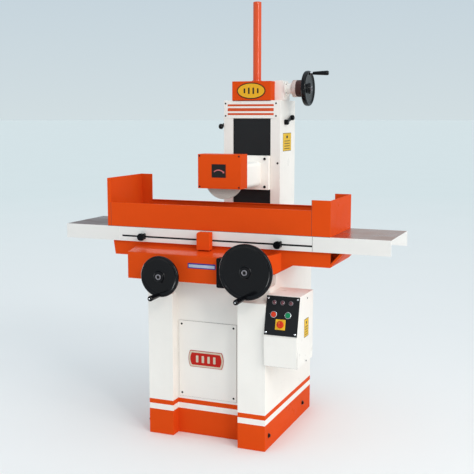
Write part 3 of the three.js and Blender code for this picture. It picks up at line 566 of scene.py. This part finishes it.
def panel_point(x, near, height):
    """a point on a line out of the console through a node's middle, height above the panel's face"""
    centre = middle(near)
    face = reach("main_switch_plate", PANEL_OUT) - 2 * MM
    centre.x = x
    return centre + PANEL_OUT * (face + height - centre.dot(PANEL_OUT))


def electrical_box():
    dress("electrical_box", CREAM_PAINT, CREAM_EDGE, radius=2.5)
    dress("box_cover_plate", CREAM_PAINT, CREAM_EDGE, radius=0.7)
    seam("box_cover_seam", "box_cover_plate", "frame")
    dress("console_panel", PANEL_BLACK, PANEL_BLACK, radius=0.5)
    dress("main_switch_plate", YELLOW_PLASTIC, YELLOW_PLASTIC, radius=0.4)
    for i in (1, 2, 3):
        lamp(f"indicator_lamp_{i}")
    push_button("stop", RED_PLASTIC)
    push_button("start", GREEN_PLASTIC)
    switch_knob()
    console_screws()
    low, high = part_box("electrical_box")
    places = [Vector((high.x, low.y + 154 * MM, high.z - 24 * MM)),
              Vector((high.x, low.y + 142 * MM, low.z + 8 * MM))]
    screws("box_side_screws", "frame", places, X, head=4.5)
    sticker_at = Vector((high.x, low.y + 142 * MM, low.z + 174.5 * MM))
    warning_sheet("box_sticker", sticker_at, 70 * MM, 91 * MM)


def console_screws():
    low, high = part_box("console_panel")
    centre = panel_point(middle("console_panel").x, "console_panel", 0)
    half_up = (high.z - low.z) / 2 / PANEL_UP.z - 12 * MM
    half_across = (high.x - low.x) / 2 - 10 * MM
    places = [centre + X * (i * half_across) + PANEL_UP * (j * half_up) for i in (-1, 1) for j in (-1, 1)]
    screws("console_screws", "frame", places, PANEL_OUT, CHROME, head=5)


def lamp(node):
    """signal lamp: a steel bezel around a domed lens"""
    at = panel_point(middle(node).x, node, 0)
    bm = bmesh.new()
    bezel = rounded(mm((11.5, 0.3), (11.5, 2.6), (10.4, 4.2), (9, 4.2)), 0.5 * MM)
    turn(bm, at, PANEL_OUT, [*mm((9, 0.3)), *bezel], 40, 0)
    rise = [i * math.pi / 16 for i in range(8)]
    dome = [(9 * MM * math.cos(t), (3 + 4.4 * math.sin(t)) * MM) for t in rise]
    turn(bm, at, PANEL_OUT, [*mm((0, 0.6), (9, 0.6)), *dome, (0, 7.4 * MM)], 40, 1)
    piece(node + "_cap", bm, "frame", [RING_STEEL, LAMP_LENS], replaces=[node])


def push_button(kind, material):
    node = kind + "_button"
    at = panel_point(middle(node).x, node, 0)
    bezel = mm((13.5, -0.1), (16.8, -0.1), (16.8, 3.4), (15.4, 5.3), (13.5, 5.3))
    bm = bmesh.new()
    turn(bm, at, PANEL_OUT, rounded(bezel, 0.6 * MM), 56)
    piece(kind + "_bezel", bm, "frame", [CHROME], slot="ground_steel")
    cap = mm((0, 9.4), (9.5, 9.6), (12, 9.2), (13, 7.6), (13, -17), (0, -17))
    bm = bmesh.new()
    turn(bm, at, PANEL_OUT, rounded(cap, 0.8 * MM, closed=False), 56)
    piece(kind + "_button_cap", bm, BODY_OF[node], [material], replaces=[node])


def switch_knob():
    """main switch: a round knob with a bar grip and a pointer mark"""
    node = "main_switch_knob"
    at = panel_point(middle(node).x, node, 2.3 * MM)
    disc = mm((0, 7.5), (15.7, 7.5), (17.5, 5.6), (17.5, 0), (5, 0), (5, -10), (0, -10))
    bm = bmesh.new()
    turn(bm, at, PANEL_OUT, rounded(disc, 1 * MM, closed=False), 56)
    bar = soft_rectangle(10 * MM, 30 * MM, 3.5 * MM)
    slab(bm, at + PANEL_OUT * 5 * MM, X, PANEL_UP, bar, 14.5 * MM, soft=1.6 * MM)
    mark = soft_rectangle(1.6 * MM, 10 * MM, 0.6 * MM, v=8 * MM)
    slab(bm, at + PANEL_OUT * 19.2 * MM, X, PANEL_UP, mark, 0.6 * MM, paint=1)
    piece("main_switch_grip", bm, BODY_OF[node], [RED_PLASTIC, YELLOW_PLASTIC], replaces=[node])


def warning_sheet(name, at, width, height):
    """plain yellow sticker on a right-hand face, with a dark border, a spot and blank bars"""
    bm = bmesh.new()
    slab(bm, at, Y, Z, soft_rectangle(width, height, 3 * MM), 0.25 * MM, paint=1)
    field = soft_rectangle(width - 5 * MM, height - 5 * MM, 2 * MM)
    slab(bm, at + X * 0.2 * MM, Y, Z, field, 0.25 * MM, paint=0)
    spot = [(u, 0.28 * height + v) for u, v in oval(0.10 * width, 0.08 * height, 32)]
    slab(bm, at + X * 0.4 * MM, Y, Z, spot, 0.2 * MM, paint=1)
    for row in (0.06, -0.08, -0.22, -0.36):
        bar = rectangle(0.66 * width, 0.035 * height, v=row * height)
        slab(bm, at + X * 0.4 * MM, Y, Z, bar, 0.15 * MM, paint=1)
    piece(name, bm, "frame", [LABEL_YELLOW, LABEL_BLACK], slot="yellow_plastic")


# ---- column ---------------------------------------------------------------
OILER_HEIGHT = 1383    # above the floor, mm
EMBLEM_BARS = (26, 34, 34, 26)    # heights of the emblem's bars, mm
TUBE_RADIUS = 23
FLANGE_RADIUS = 30


def column():
    dress("column", CREAM_PAINT, CREAM_EDGE, radius=4)
    dress("column_nameplate", CREAM_PAINT, CREAM_EDGE, radius=0.6)
    dress("column_cap", ORANGE_PAINT, ORANGE_EDGE, radius=1.6)
    screws("nameplate_screws", "frame", corners("column_nameplate", 9 * MM, 13 * MM), -Y, head=5)
    nameplate_stripes()
    emblem()
    tube()
    low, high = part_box("column")
    label = Vector((high.x, low.y + 116.5 * MM, low.z + 685 * MM))
    warning_sheet("column_sticker", label, 138 * MM, 100 * MM)
    oiler = Vector((high.x - 14 * MM, low.y, OILER_HEIGHT * MM))
    screws("column_oiler", "frame", [oiler], -Y, head=6, height=3)
    for side in ("left", "right"):
        dress("clamp_lever_" + side, BLACK_PAINT, BLACK_EDGE, radius=1.5)


def nameplate_stripes():
    """plain printed bars across the plate, in place of any lettering"""
    low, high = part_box("column_nameplate")
    at = middle_at("column_nameplate", low.y)
    span = high.x - low.x - 44 * MM
    bm = bmesh.new()
    for v, height in ((24, 11), (0, 17), (-24, 11)):
        stripe = soft_rectangle(span, height * MM, 2 * MM, v=v * MM)
        slab(bm, at + Y * 0.05 * MM, X, Z, stripe, 0.35 * MM)
    piece("nameplate_print", bm, "frame", [LABEL_ORANGE], slot="orange_paint")


def emblem():
    """oval plate on the cap with plain upright bars, in place of any lettering"""
    low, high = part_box("cap_emblem")
    at = middle_at("cap_emblem", high.y)
    a, b = (high.x - low.x) / 2, (high.z - low.z) / 2
    thick = high.y - low.y
    bm = bmesh.new()
    slab(bm, at, X, Z, oval(a, b), thick - 1 * MM, soft=0.6 * MM, paint=1)
    field = oval(a - 5 * MM, b - 5 * MM)
    slab(bm, at - Y * (thick - 1.2 * MM), X, Z, field, 0.7 * MM, soft=0.4 * MM, paint=0)
    for i, height in enumerate(EMBLEM_BARS):
        bar = soft_rectangle(9 * MM, height * MM, 2 * MM, u=(i - 1.5) * 26 * MM)
        slab(bm, at - Y * (thick - 0.7 * MM), X, Z, bar, 0.5 * MM, soft=0.2 * MM, paint=1)
    piece("cap_emblem_plate", bm, "frame", [YELLOW_ENAMEL, LABEL_BLACK], replaces=["cap_emblem"])


def tube():
    """cover of the elevating screw: a flange, a long tube and a rounded crown"""
    low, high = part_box("screw_cover_tube")
    at = middle("screw_cover_tube")
    at.z = low.z
    height = high.z - low.z
    r = TUBE_RADIUS * MM
    flange = mm((16, 0), (FLANGE_RADIUS, 0), (FLANGE_RADIUS, 4.2), (29.2, 5), (24.5, 5), (TUBE_RADIUS, 7))
    rise = [i * math.pi / 20 for i in range(10)]
    crown = [(r * math.cos(t), height - (6 - 6 * math.sin(t)) * MM) for t in rise]
    inside = [(0, height), (0, height - 3 * MM), (16 * MM, height - 6 * MM)]
    bm = bmesh.new()
    turn(bm, at, Z, [*flange, *crown, *inside], 72)
    piece("screw_cover_tube_shell", bm, "frame", [TUBE_PAINT], replaces=["screw_cover_tube"])
    ring = ring_of(4, at + Z * 5 * MM, X, Y, 26.9 * MM)
    screws("tube_flange_screws", "frame", ring, Z, head=2.2, height=1.5)


# ---- elevating drive ------------------------------------------------------
def elevating_drive():
    dress("bevel_gearbox", CREAM_PAINT, CREAM_EDGE, radius=2.5)
    dress("elevating_shaft", SATIN_STEEL, SATIN_STEEL, radius=0.8)
    dress("elevating_nut_gear", BRONZE, BRONZE, radius=0.4)
    nose = Vector(JOINTS["elevating_turn"]["pos_m"])
    nose.x = high_of("bevel_gearbox").x
    flange = nose - X * 36 * MM
    plate = mm((27.4, 0.2), (38, 0.2), (38, 7), (27.4, 9))
    sleeve = mm((27.3, 24), (31, 24), (31, 36), (27.3, 36))
    bm = bmesh.new()
    for outline in (plate, sleeve):
        turn(bm, flange, X, rounded(outline, 1 * MM), 64)
    piece("elevating_flange", bm, "frame", [CREAM_PAINT], slot="cream_paint")
    ring = ring_of(4, flange + X * 7 * MM, Y, Z, 33 * MM)
    screws("elevating_flange_screws", "frame", ring, X, kind=socket_screw, head=3.2, height=2.6)
    dial("elevating_dial", "elevating_wheel", nose + X * 8.3 * MM, X, 46.4, 20)
    collar("elevating_collar", "elevating_wheel", nose + X * 29.6 * MM, X, 45.4, 50)
    handwheel("elevating", "x", 1)


# ---- handwheels -----------------------------------------------------------
FERRULE = {"cross": 5, "traverse": 5, "elevating": 14}    # bare steel neck of each grip, mm
GRIP_RADII = {"cross": (10.6, 13.7), "traverse": (11.1, 13.7), "elevating": (8.0, 12.7)}    # neck, end, mm
RIM_BACK = {"cross": 0, "traverse": 0, "elevating": 6}    # how far a rim reaches behind its hub, mm
GRIP_START = 21    # where a grip begins in front of the back of its wheel, mm
HUB_RADIUS = 27
DIAL_DIVISIONS = 50


def dial(name, body, at, out, radius, length):
    """graduated steel sleeve with a knurled band beside its scale, from its back face at `at`"""
    r = radius * MM
    scale_end = 0.56 * length

    def knurl(angle):
        return r + 0.25 * MM * math.cos(72 * angle)

    profile = [(r - 4 * MM, 0), (r - 0.6 * MM, 0), (r, 0.6), (r, scale_end), (r - 0.8 * MM, scale_end + 0.4),
               (knurl, scale_end + 1.2), (knurl, length - 0.8), (r - 1 * MM, length), (r - 4 * MM, length)]
    bm = bmesh.new()
    turn(bm, at, out, [(radius_at, distance * MM) for radius_at, distance in profile], 288)
    along, side, up = frame_axes(out)
    for i in range(DIAL_DIVISIONS):
        angle = 2 * math.pi * i / DIAL_DIVISIONS
        radial = side * math.cos(angle) + up * math.sin(angle)
        mark = (scale_end - 1.6) * MM * (1 if i % 10 == 0 else 0.75 if i % 5 == 0 else 0.5)
        start = Vector(at) + radial * (r - 0.1 * MM) + along * 0.9 * MM
        slab(bm, start, along, radial.cross(along), rectangle(mark, 0.8 * MM, u=mark / 2), 0.2 * MM, paint=1)
    piece(name, bm, body, [SATIN_STEEL, LABEL_BLACK], slot="ground_steel")


def collar(name, body, at, out, radius, length):
    """dark ribbed sleeve between a dial and its handwheel"""
    r = radius * MM

    def ribs(angle):
        return r + 0.5 * MM * math.cos(36 * angle)

    end = length * MM
    bm = bmesh.new()
    turn(bm, at, out, [(r - 4 * MM, 0), (r - 0.8 * MM, 0), (r, 1 * MM), (r, 6 * MM), (ribs, 7.5 * MM),
                       (ribs, end - 9 * MM), (r, end - 7.5 * MM), (r, end - 1.5 * MM),
                       (r - 1.5 * MM, end), (r - 4 * MM, end)], 216)
    piece(name, bm, body, [COLLAR_BROWN], slot="ground_steel")


def handwheel(drive, axis, sign):
    """Dished wheel with a raised rim, its steel hub ring, and the grip on its pin."""
    node = drive + "_handwheel"
    grip_node = drive + "_handle"
    low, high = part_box(node)
    out = (X if axis == "x" else Y) * sign
    index = "xyz".index(axis)
    set_back = RIM_BACK[drive] * MM
    back = low[index] + set_back if sign > 0 else high[index] - set_back
    at = Vector(JOINTS[drive + "_turn"]["pos_m"])
    at[index] = back
    r = (high.z - low.z) / 2 if axis == "x" else (high.x - low.x) / 2
    bm = bmesh.new()
    turn(bm, at, out, rounded(wheel_profile(r, set_back), 3 * MM), 144, 0)
    pin_at = middle(grip_node)
    pin_at[index] = back
    boss = rounded(mm((0, 8), (9, 8), (9, 17), (7.5, 20.4), (0, 20.4)), 1 * MM, closed=False)
    turn(bm, pin_at, out, boss, 40, 0)
    turn(bm, pin_at, out, mm((0, 19), (4.9, 19), (4.9, 24), (0, 24)), 32, 1)
    piece(drive + "_wheel_rim", bm, BODY_OF[node], [BAKELITE, TURNED_STEEL], replaces=[node])
    hub_cap(drive, BODY_OF[node], at, out)
    grip_low, grip_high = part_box(grip_node)
    tip = grip_high[index] if sign > 0 else grip_low[index]
    grip(drive, grip_node, pin_at, out, abs(tip - back))


def wheel_profile(r, set_back):
    """half section of a wheel, as [radius, distance in front of the hub's back] points"""
    hub = HUB_RADIUS * MM
    rim_back = [(r - inset * MM, distance * MM - set_back) for inset, distance in (
        (14, 3.2), (10, 0.6), (5, 0), (1.2, 3), (0, 8))]
    rim_front = [(r - inset * MM, distance * MM) for inset, distance in (
        (0, 12), (1.2, 16.5), (4.5, 19.4), (8.5, 20), (12.5, 18.4), (16.5, 15.2), (21, 13.4))]
    return [(10.4 * MM, 0), (hub, 0), (hub + 2 * MM, 7 * MM), (0.62 * r, 7 * MM), *rim_back, *rim_front,
            (0.62 * r, 12.8 * MM), (hub + 6 * MM, 12.6 * MM), (hub + 1 * MM, 16 * MM),
            (hub - 1.5 * MM, 25.2 * MM), (hub - 4 * MM, 26 * MM), (10.4 * MM, 26 * MM)]


def hub_cap(drive, body, at, out):
    """steel ring washer and cap screw that hold the wheel on its shaft"""
    ring = mm((6, 25.6), (14, 25.6), (14, 29), (13, 30), (9.2, 30), (8.4, 29), (6, 29))
    bm = bmesh.new()
    turn(bm, at, out, rounded(ring, 0.7 * MM), 64, 0)
    socket_screw(bm, at + out * 28 * MM, out, head=7.8, height=2.6, paint=1)
    piece(drive + "_hub_ring", bm, body, [RING_STEEL, BLACK_OXIDE], slot="ground_steel")


def grip(drive, node, at, out, reach_out):
    """tapered bakelite grip with a steel ferrule and end screw"""
    start = (GRIP_START + FERRULE[drive]) * MM
    end = reach_out - 4.4 * MM
    span = end - start
    neck, wide = GRIP_RADII[drive]
    taper = [((neck + (wide - neck) * t ** 0.8) * MM, start + 0.88 * span * t)
             for t in [i / 20 for i in range(20)]]
    crown = [((wide - 8 + 8 * math.cos(t)) * MM, end - (1 - math.sin(t)) * 0.1 * span)
             for t in [i * math.pi / 16 for i in range(9)]]
    bore = 5.2 * MM
    body = [(bore, start), *taper, *crown, (0, end), (0, end - 4 * MM), (bore, end - 4 * MM)]
    sleeve, sleeve_back, sleeve_front = (neck - 0.4) * MM, (GRIP_START - 0.2) * MM, start + 0.5 * MM
    ferrule = [(bore, sleeve_back), (sleeve, sleeve_back), (sleeve, sleeve_front), (bore, sleeve_front)]
    screw = [(0, end + 0.4 * MM), (3.4 * MM, end + 0.3 * MM), (3.9 * MM, end - 0.3 * MM),
             (3.9 * MM, end - 3 * MM), (0, end - 3 * MM)]
    bm = bmesh.new()
    turn(bm, at, out, body, 56, 0)
    turn(bm, at, out, rounded(ferrule, 0.5 * MM), 48, 1)
    turn(bm, at, out, rounded(screw, 0.3 * MM, closed=False), 32, 1)
    piece(drive + "_grip", bm, BODY_OF[node], [BAKELITE, CHROME], replaces=[node])


# ---- head -----------------------------------------------------------------
PLATE_OFFSET = -9    # x of the rotation plate and of the apron label, mm
ARROW_RADII = (36, 41)    # inner and outer edge of the bent arrow, mm
ARROW_DROP = 34    # how far the arrow's centre lies below the middle of its plate, mm


def head():
    dress("head_slide", HEAD_PAINT, HEAD_EDGE, radius=2.5)
    dress("spindle_housing", HEAD_PAINT, HEAD_EDGE, radius=3)
    for node in ("upper_way_cover", "lower_way_cover"):
        dress(node, WAY_SHEET, WAY_SHEET, radius=0.5)
    dress("wheel_guard", ORANGE_PAINT, ORANGE_EDGE, radius=1.5)
    dress("wheel_guard_cover", ORANGE_PAINT, ORANGE_EDGE, radius=0.9)
    dress("motor_stator", CAST_IRON, CAST_IRON, radius=0.5)
    for node in ("front_bearing", "rear_bearing"):
        dress(node, CHROME, CHROME, radius=0.5)
    dress("elevating_screw", LIFT_THREAD, LIFT_THREAD, radius=0.3)
    screws("guard_cover_screws", "head", corners("wheel_guard_cover", 9 * MM, 9 * MM), -Y, head=4.6)
    low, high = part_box("head_slide")
    bolts = [Vector((x, low.y, z)) for x in (low.x + 21.5 * MM, high.x - 21.5 * MM)
             for z in (low.z + 16 * MM, high.z - 17 * MM)]
    screws("head_plate_bolts", "head", bolts, -Y, kind=socket_screw, head=7, height=5)
    rotation_plate()
    grinding_wheel()


def rotation_plate():
    """black plate with a bent arrow that shows which way the wheel turns"""
    cover = "wheel_guard_cover"
    at = Vector((PLATE_OFFSET * MM, low_of(cover).y, middle(cover).z + 3.5 * MM))
    bm = bmesh.new()
    slab(bm, at, X, Z, soft_rectangle(78 * MM, 68 * MM, 2 * MM), 0.8 * MM, soft=0.3 * MM, paint=0)
    inner, outer = [r * MM for r in ARROW_RADII]
    sweep = [math.radians(a) for a in range(48, 133, 6)]
    tip = math.radians(42)
    mid = (inner + outer) / 2
    band = [(outer, t) for t in sweep] + [(inner, t) for t in reversed(sweep)]
    point = [(mid + 7 * MM, tip + 0.12), (mid - 7 * MM, tip + 0.12), (mid, tip - 0.1)]
    for polar in (band, point):
        outline = [(r * math.cos(t), r * math.sin(t) - ARROW_DROP * MM) for r, t in polar]
        slab(bm, at - Y * 0.7 * MM, X, Z, outline, 0.35 * MM, paint=1)
    piece("rotation_plate", bm, "head", [LABEL_BLACK, LABEL_RED], slot="black_plastic")


def grinding_wheel():
    low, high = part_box("grinding_wheel")
    spindle = JOINTS["spindle_turn"]["pos_m"]
    at = Vector((spindle[0], high.y, spindle[2]))
    r = (high.z - low.z) / 2
    thick = high.y - low.y
    bore = 24.7 * MM
    bm = bmesh.new()
    turn(bm, at, -Y, rounded([(bore, 0), (r, 0), (r, thick), (bore, thick)], 1.2 * MM), 160, 0)
    for y in (-0.25 * MM, thick - 0.2 * MM):
        turn(bm, at, -Y, [(bore, y), (0.46 * r, y), (0.46 * r, y + 0.45 * MM), (bore, y + 0.45 * MM)], 96, 1)
    piece("grinding_wheel_disc", bm, "spindle", [GRIT, LABEL_SILVER], replaces=["grinding_wheel"])
    dress("spindle", TURNED_STEEL, TURNED_STEEL, radius=0.6)
    dress("wheel_flange", TURNED_STEEL, TURNED_STEEL, radius=0.6)


# ---- saddle and its drives ------------------------------------------------
LABEL_HEIGHT = 906    # middle of the apron label above the floor, mm


def saddle():
    dress("saddle", ORANGE_PAINT, ORANGE_EDGE, 2.5, ORANGE_DECK)
    dress("stop_bracket", ORANGE_PAINT, ORANGE_EDGE, radius=2.5)
    dress("traverse_gearbox", BLACK_PAINT, BLACK_EDGE, radius=2.5)
    dress("cross_bearing", CAST_IRON, CAST_IRON, radius=1)
    dress("cross_feed_nut", BRONZE, BRONZE, radius=1)
    front = low_of("saddle").y

    def ahead_of_saddle(centre, normal):
        return centre.y < front

    dress("cross_feed_screw", CROSS_THREAD, TURNED_STEEL, 0.6, TURNED_STEEL, ahead_of_saddle)
    dress("traverse_shaft", TURNED_STEEL, TURNED_STEEL, radius=0.4)
    places = corners("traverse_gearbox", 14 * MM, 14 * MM)
    screws("gearbox_screws", "saddle", places, -Y, kind=socket_screw, head=4.5, height=3)
    bearing_low, bearing_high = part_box("cross_bearing")
    cross = Vector(JOINTS["cross_turn"]["pos_m"])
    cross.y = bearing_high.y - 8 * MM
    ring = ring_of(3, cross, X, Z, 36 * MM, start=math.pi / 6)
    screws("cross_bearing_screws", "saddle", ring, -Y, kind=socket_screw, head=3, height=2.4)
    cross.y = bearing_low.y - 0.3 * MM
    dial("cross_dial", "cross_wheel", cross, -Y, 38.4, 22)
    traverse = Vector(JOINTS["traverse_turn"]["pos_m"])
    traverse.y = low_of("traverse_gearbox").y - 0.3 * MM
    dial("traverse_dial", "traverse_wheel", traverse, -Y, 44.4, 20)
    handwheel("cross", "y", -1)
    handwheel("traverse", "y", -1)
    apron_label()


def apron_label():
    """blank silver strip in a blue border"""
    at = Vector((PLATE_OFFSET * MM, low_of("saddle").y, LABEL_HEIGHT * MM))
    bm = bmesh.new()
    slab(bm, at, X, Z, soft_rectangle(150 * MM, 26 * MM, 2 * MM), 0.5 * MM, soft=0.2 * MM, paint=0)
    strip = soft_rectangle(140 * MM, 15 * MM, 2 * MM, v=-1 * MM)
    slab(bm, at - Y * 0.4 * MM, X, Z, strip, 0.3 * MM, paint=1)
    piece("apron_label", bm, "saddle", [LABEL_BLUE, LABEL_SILVER], slot="pale_grey_paint")


# ---- table ----------------------------------------------------------------
# the left tray's top takes the darker copy of the tray steel, which is painted shade
TRAY_TOP = {"left": SHADED_TRAY_STEEL, "right": TRAY_STEEL}
GUARD_SCREWS = 6    # on each long splash guard


def table():
    dress("table", WHITE_PAINT, WHITE_EDGE, 0.8, GROUND_STEEL)
    groove_painted_shade()
    dress("table_rack", GROUND_STEEL, GROUND_STEEL, radius=0.3)
    for side in ("left", "right"):
        dress(side + "_tray", WHITE_PAINT, WHITE_EDGE, 1.2, TRAY_TOP[side])
        dress("stop_dog_" + side, BLACK_PAINT, BLACK_EDGE, radius=0.8)
        dress("splash_guard_" + side, ORANGE_PAINT, ORANGE_EDGE, radius=0.9)
    for side in ("front", "back"):
        dress("splash_guard_" + side, ORANGE_PAINT, ORANGE_EDGE, radius=0.9)
    for side in ("left", "right"):
        dog_knob("stop_dog_" + side)
    guard_fixings()
    joint_lines()


def joint_lines():
    """dark lines beside the right tray, at both ends of the front guard and along the guards' foot"""
    inside = low_of("table").y + 1 * MM
    half_gap = 0.15 * MM
    bm = bmesh.new()
    for node in ("right_tray", "splash_guard_right", "splash_guard_front"):
        low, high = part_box(node)
        at = Vector((low.x - half_gap, inside, (low.z + high.z) / 2))
        slab(bm, at, X, Z, rectangle(1.5 * MM, high.z - low.z - 2 * MM), 1.1 * MM)
    x0, x1 = low_of("splash_guard_left").x, high_of("splash_guard_right").x
    at = Vector(((x0 + x1) / 2, inside, low_of("splash_guard_front").z - half_gap))
    slab(bm, at, X, Z, rectangle(x1 - x0 - 2 * MM, 1.8 * MM), 1.1 * MM)
    piece("table_joint_lines", bm, "table", [JOINT_LINE], slot="black_plastic")


def groove_painted_shade():
    """black strip down in the groove that the stop dogs slide in: painted shade in the groove's depth"""
    low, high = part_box("table")
    z = middle("stop_dog_left").z - 0.1 * MM
    x0, x1 = low.x + 15 * MM, high.x - 0.5 * MM
    at = Vector(((x0 + x1) / 2, low.y + 8 * MM, z))
    bm = bmesh.new()
    slab(bm, at, X, Z, rectangle(x1 - x0, 8.6 * MM), 6.6 * MM)
    piece("groove_strip", bm, "table", [PANEL_BLACK], slot="black_paint")


def dog_knob(node):
    """knurled clamp nut on the front of a stop dog"""
    at = middle_at(node, low_of(node).y + 14.6 * MM) - Z * 1 * MM
    r = 17 * MM

    def knurl(angle):
        return r + 2.4 * MM * math.cos(6 * angle)

    profile = [(0, 0), (r - 1 * MM, 0), (knurl, 1.5 * MM), (knurl, 12.4 * MM), (r - 2.5 * MM, 14.2 * MM),
               (8 * MM, 14.5 * MM), (0, 14.5 * MM)]
    bm = bmesh.new()
    turn(bm, at, -Y, profile, 96)
    piece(node + "_knob", bm, "table", [BLACK_PAINT], slot="black_paint")


def guard_fixings():
    """screws along the inside flanges of the splash guards"""
    for side in ("front", "back"):
        low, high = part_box("splash_guard_" + side)
        y = low.y + 15 * MM if side == "front" else high.y - 15 * MM
        places = [Vector((low.x + (high.x - low.x) * (i + 0.5) / GUARD_SCREWS, y, low.z + 3 * MM))
                  for i in range(GUARD_SCREWS)]
        screws(f"{side}_guard_screws", "table", places, Z, head=4)


# ---- stage, light and camera ----------------------------------------------
FLOOR_RADIUS = 300    # so far off that the floor's edge is the horizon, m
CAMERA_AT = (1.7475, -4.3274, 1.6437)
CAMERA_TILT, CAMERA_TURN = 82.04, 22.15    # up from straight down and about Z, degrees
SENSOR, LENS = 36.0, 66.14    # mm


def stage():
    s = Shader("studio_floor", Roughness=0.9, Specular_IOR_Level=0.1)
    far = s.add("ShaderNodeVectorMath", {0: s.place}, operation="LENGTH").outputs["Value"]
    tone = s.mix(s.spread(far, 2, 14, 0, 1), srgb(243, 240, 238), srgb(232, 236, 234))
    s.set(Base_Color=s.toned(tone, s.spread(s.noise(0.8, 3), 0.3, 0.7, 0.99, 1.0)))
    bm = bmesh.new()
    bmesh.ops.create_circle(bm, cap_ends=True, segments=96, radius=FLOOR_RADIUS)
    mesh = bpy.data.meshes.new("studio_floor")
    bm.to_mesh(mesh)
    bm.free()
    mesh.materials.append(s.material)
    floor = bpy.data.objects.new("studio_floor", mesh)
    floor.location.z = -0.5 * MM
    bpy.context.scene.collection.objects.link(floor)


def sky():
    """pale studio surround, a little bluer overhead"""
    world = bpy.data.worlds.new("studio")
    world.use_nodes = True
    bpy.context.scene.world = world
    tree = world.node_tree
    place = tree.nodes.new("ShaderNodeTexCoord").outputs["Generated"]
    split = tree.nodes.new("ShaderNodeSeparateXYZ")
    tree.links.new(place, split.inputs[0])
    ramp = tree.nodes.new("ShaderNodeValToRGB")
    tree.links.new(split.outputs[2], ramp.inputs[0])
    stops = ((0.0, srgb(220, 232, 236)), (0.14, srgb(207, 222, 231)))
    for element, (position, colour) in zip(ramp.color_ramp.elements, stops):
        element.position = position
        element.color = colour
    background = tree.nodes["Background"]
    tree.links.new(ramp.outputs[0], background.inputs["Color"])
    background.inputs["Strength"].default_value = 0.9


def aimed(obj, at, target):
    obj.location = at
    obj.rotation_euler = (Vector(target) - Vector(at)).to_track_quat("-Z", "Y").to_euler()
    bpy.context.scene.collection.objects.link(obj)


def softbox(name, at, target, size, power, colour=(1, 1, 1)):
    data = bpy.data.lights.new(name, "AREA")
    data.shape = "RECTANGLE"
    data.size, data.size_y = size
    data.energy = power
    data.color = colour
    aimed(bpy.data.objects.new(name, data), at, target)


def broad_light(name, at, strength, spread, colour=(1, 1, 1)):
    """a distant soft light that falls evenly on the whole floor"""
    data = bpy.data.lights.new(name, "SUN")
    data.energy = strength
    data.angle = math.radians(spread)
    data.color = colour
    aimed(bpy.data.objects.new(name, data), at, (0, 0, 1))


def glint(name, at, target, size, power):
    """a strip that shows only as a highlight in glossy paint"""
    softbox(name, at, target, size, power)
    bpy.data.objects[name].visible_diffuse = False


def lights():
    broad_light("side_light", (4.6, -1.8, 3.2), 0.6, 40, (1.0, 0.96, 0.88))
    broad_light("top_light", (0.5, -0.5, 5), 0.6, 70)
    softbox("key", (3.2, -3.4, 3.7), (0, -0.4, 1.0), (0.8, 0.8), 45, (1.0, 0.97, 0.93))
    softbox("rim_strip", (4.2, -2.1, 1.8), (0, -0.5, 0.9), (0.4, 1.2), 20, (1.0, 0.97, 0.92))
    glint("wheel_glint", (-2.8, -0.5, 0.75), (-0.2, -0.5, 0.8), (0.9, 1.3), 45)
    glint("tube_glint", (3.4, -2.4, 2.4), (0, 0.1, 2.0), (0.14, 2.4), 45)


def camera():
    data = bpy.data.cameras.new("camera")
    data.sensor_width = SENSOR
    data.lens = LENS
    obj = bpy.data.objects.new("camera", data)
    obj.location = CAMERA_AT
    obj.rotation_euler = (math.radians(CAMERA_TILT), 0, math.radians(CAMERA_TURN))
    bpy.context.scene.collection.objects.link(obj)
    bpy.context.scene.camera = obj


camera()
base()
electrical_box()
column()
elevating_drive()
head()
saddle()
table()
stage()
sky()
lights()
bpy.context.scene.view_settings.view_transform = "Standard"
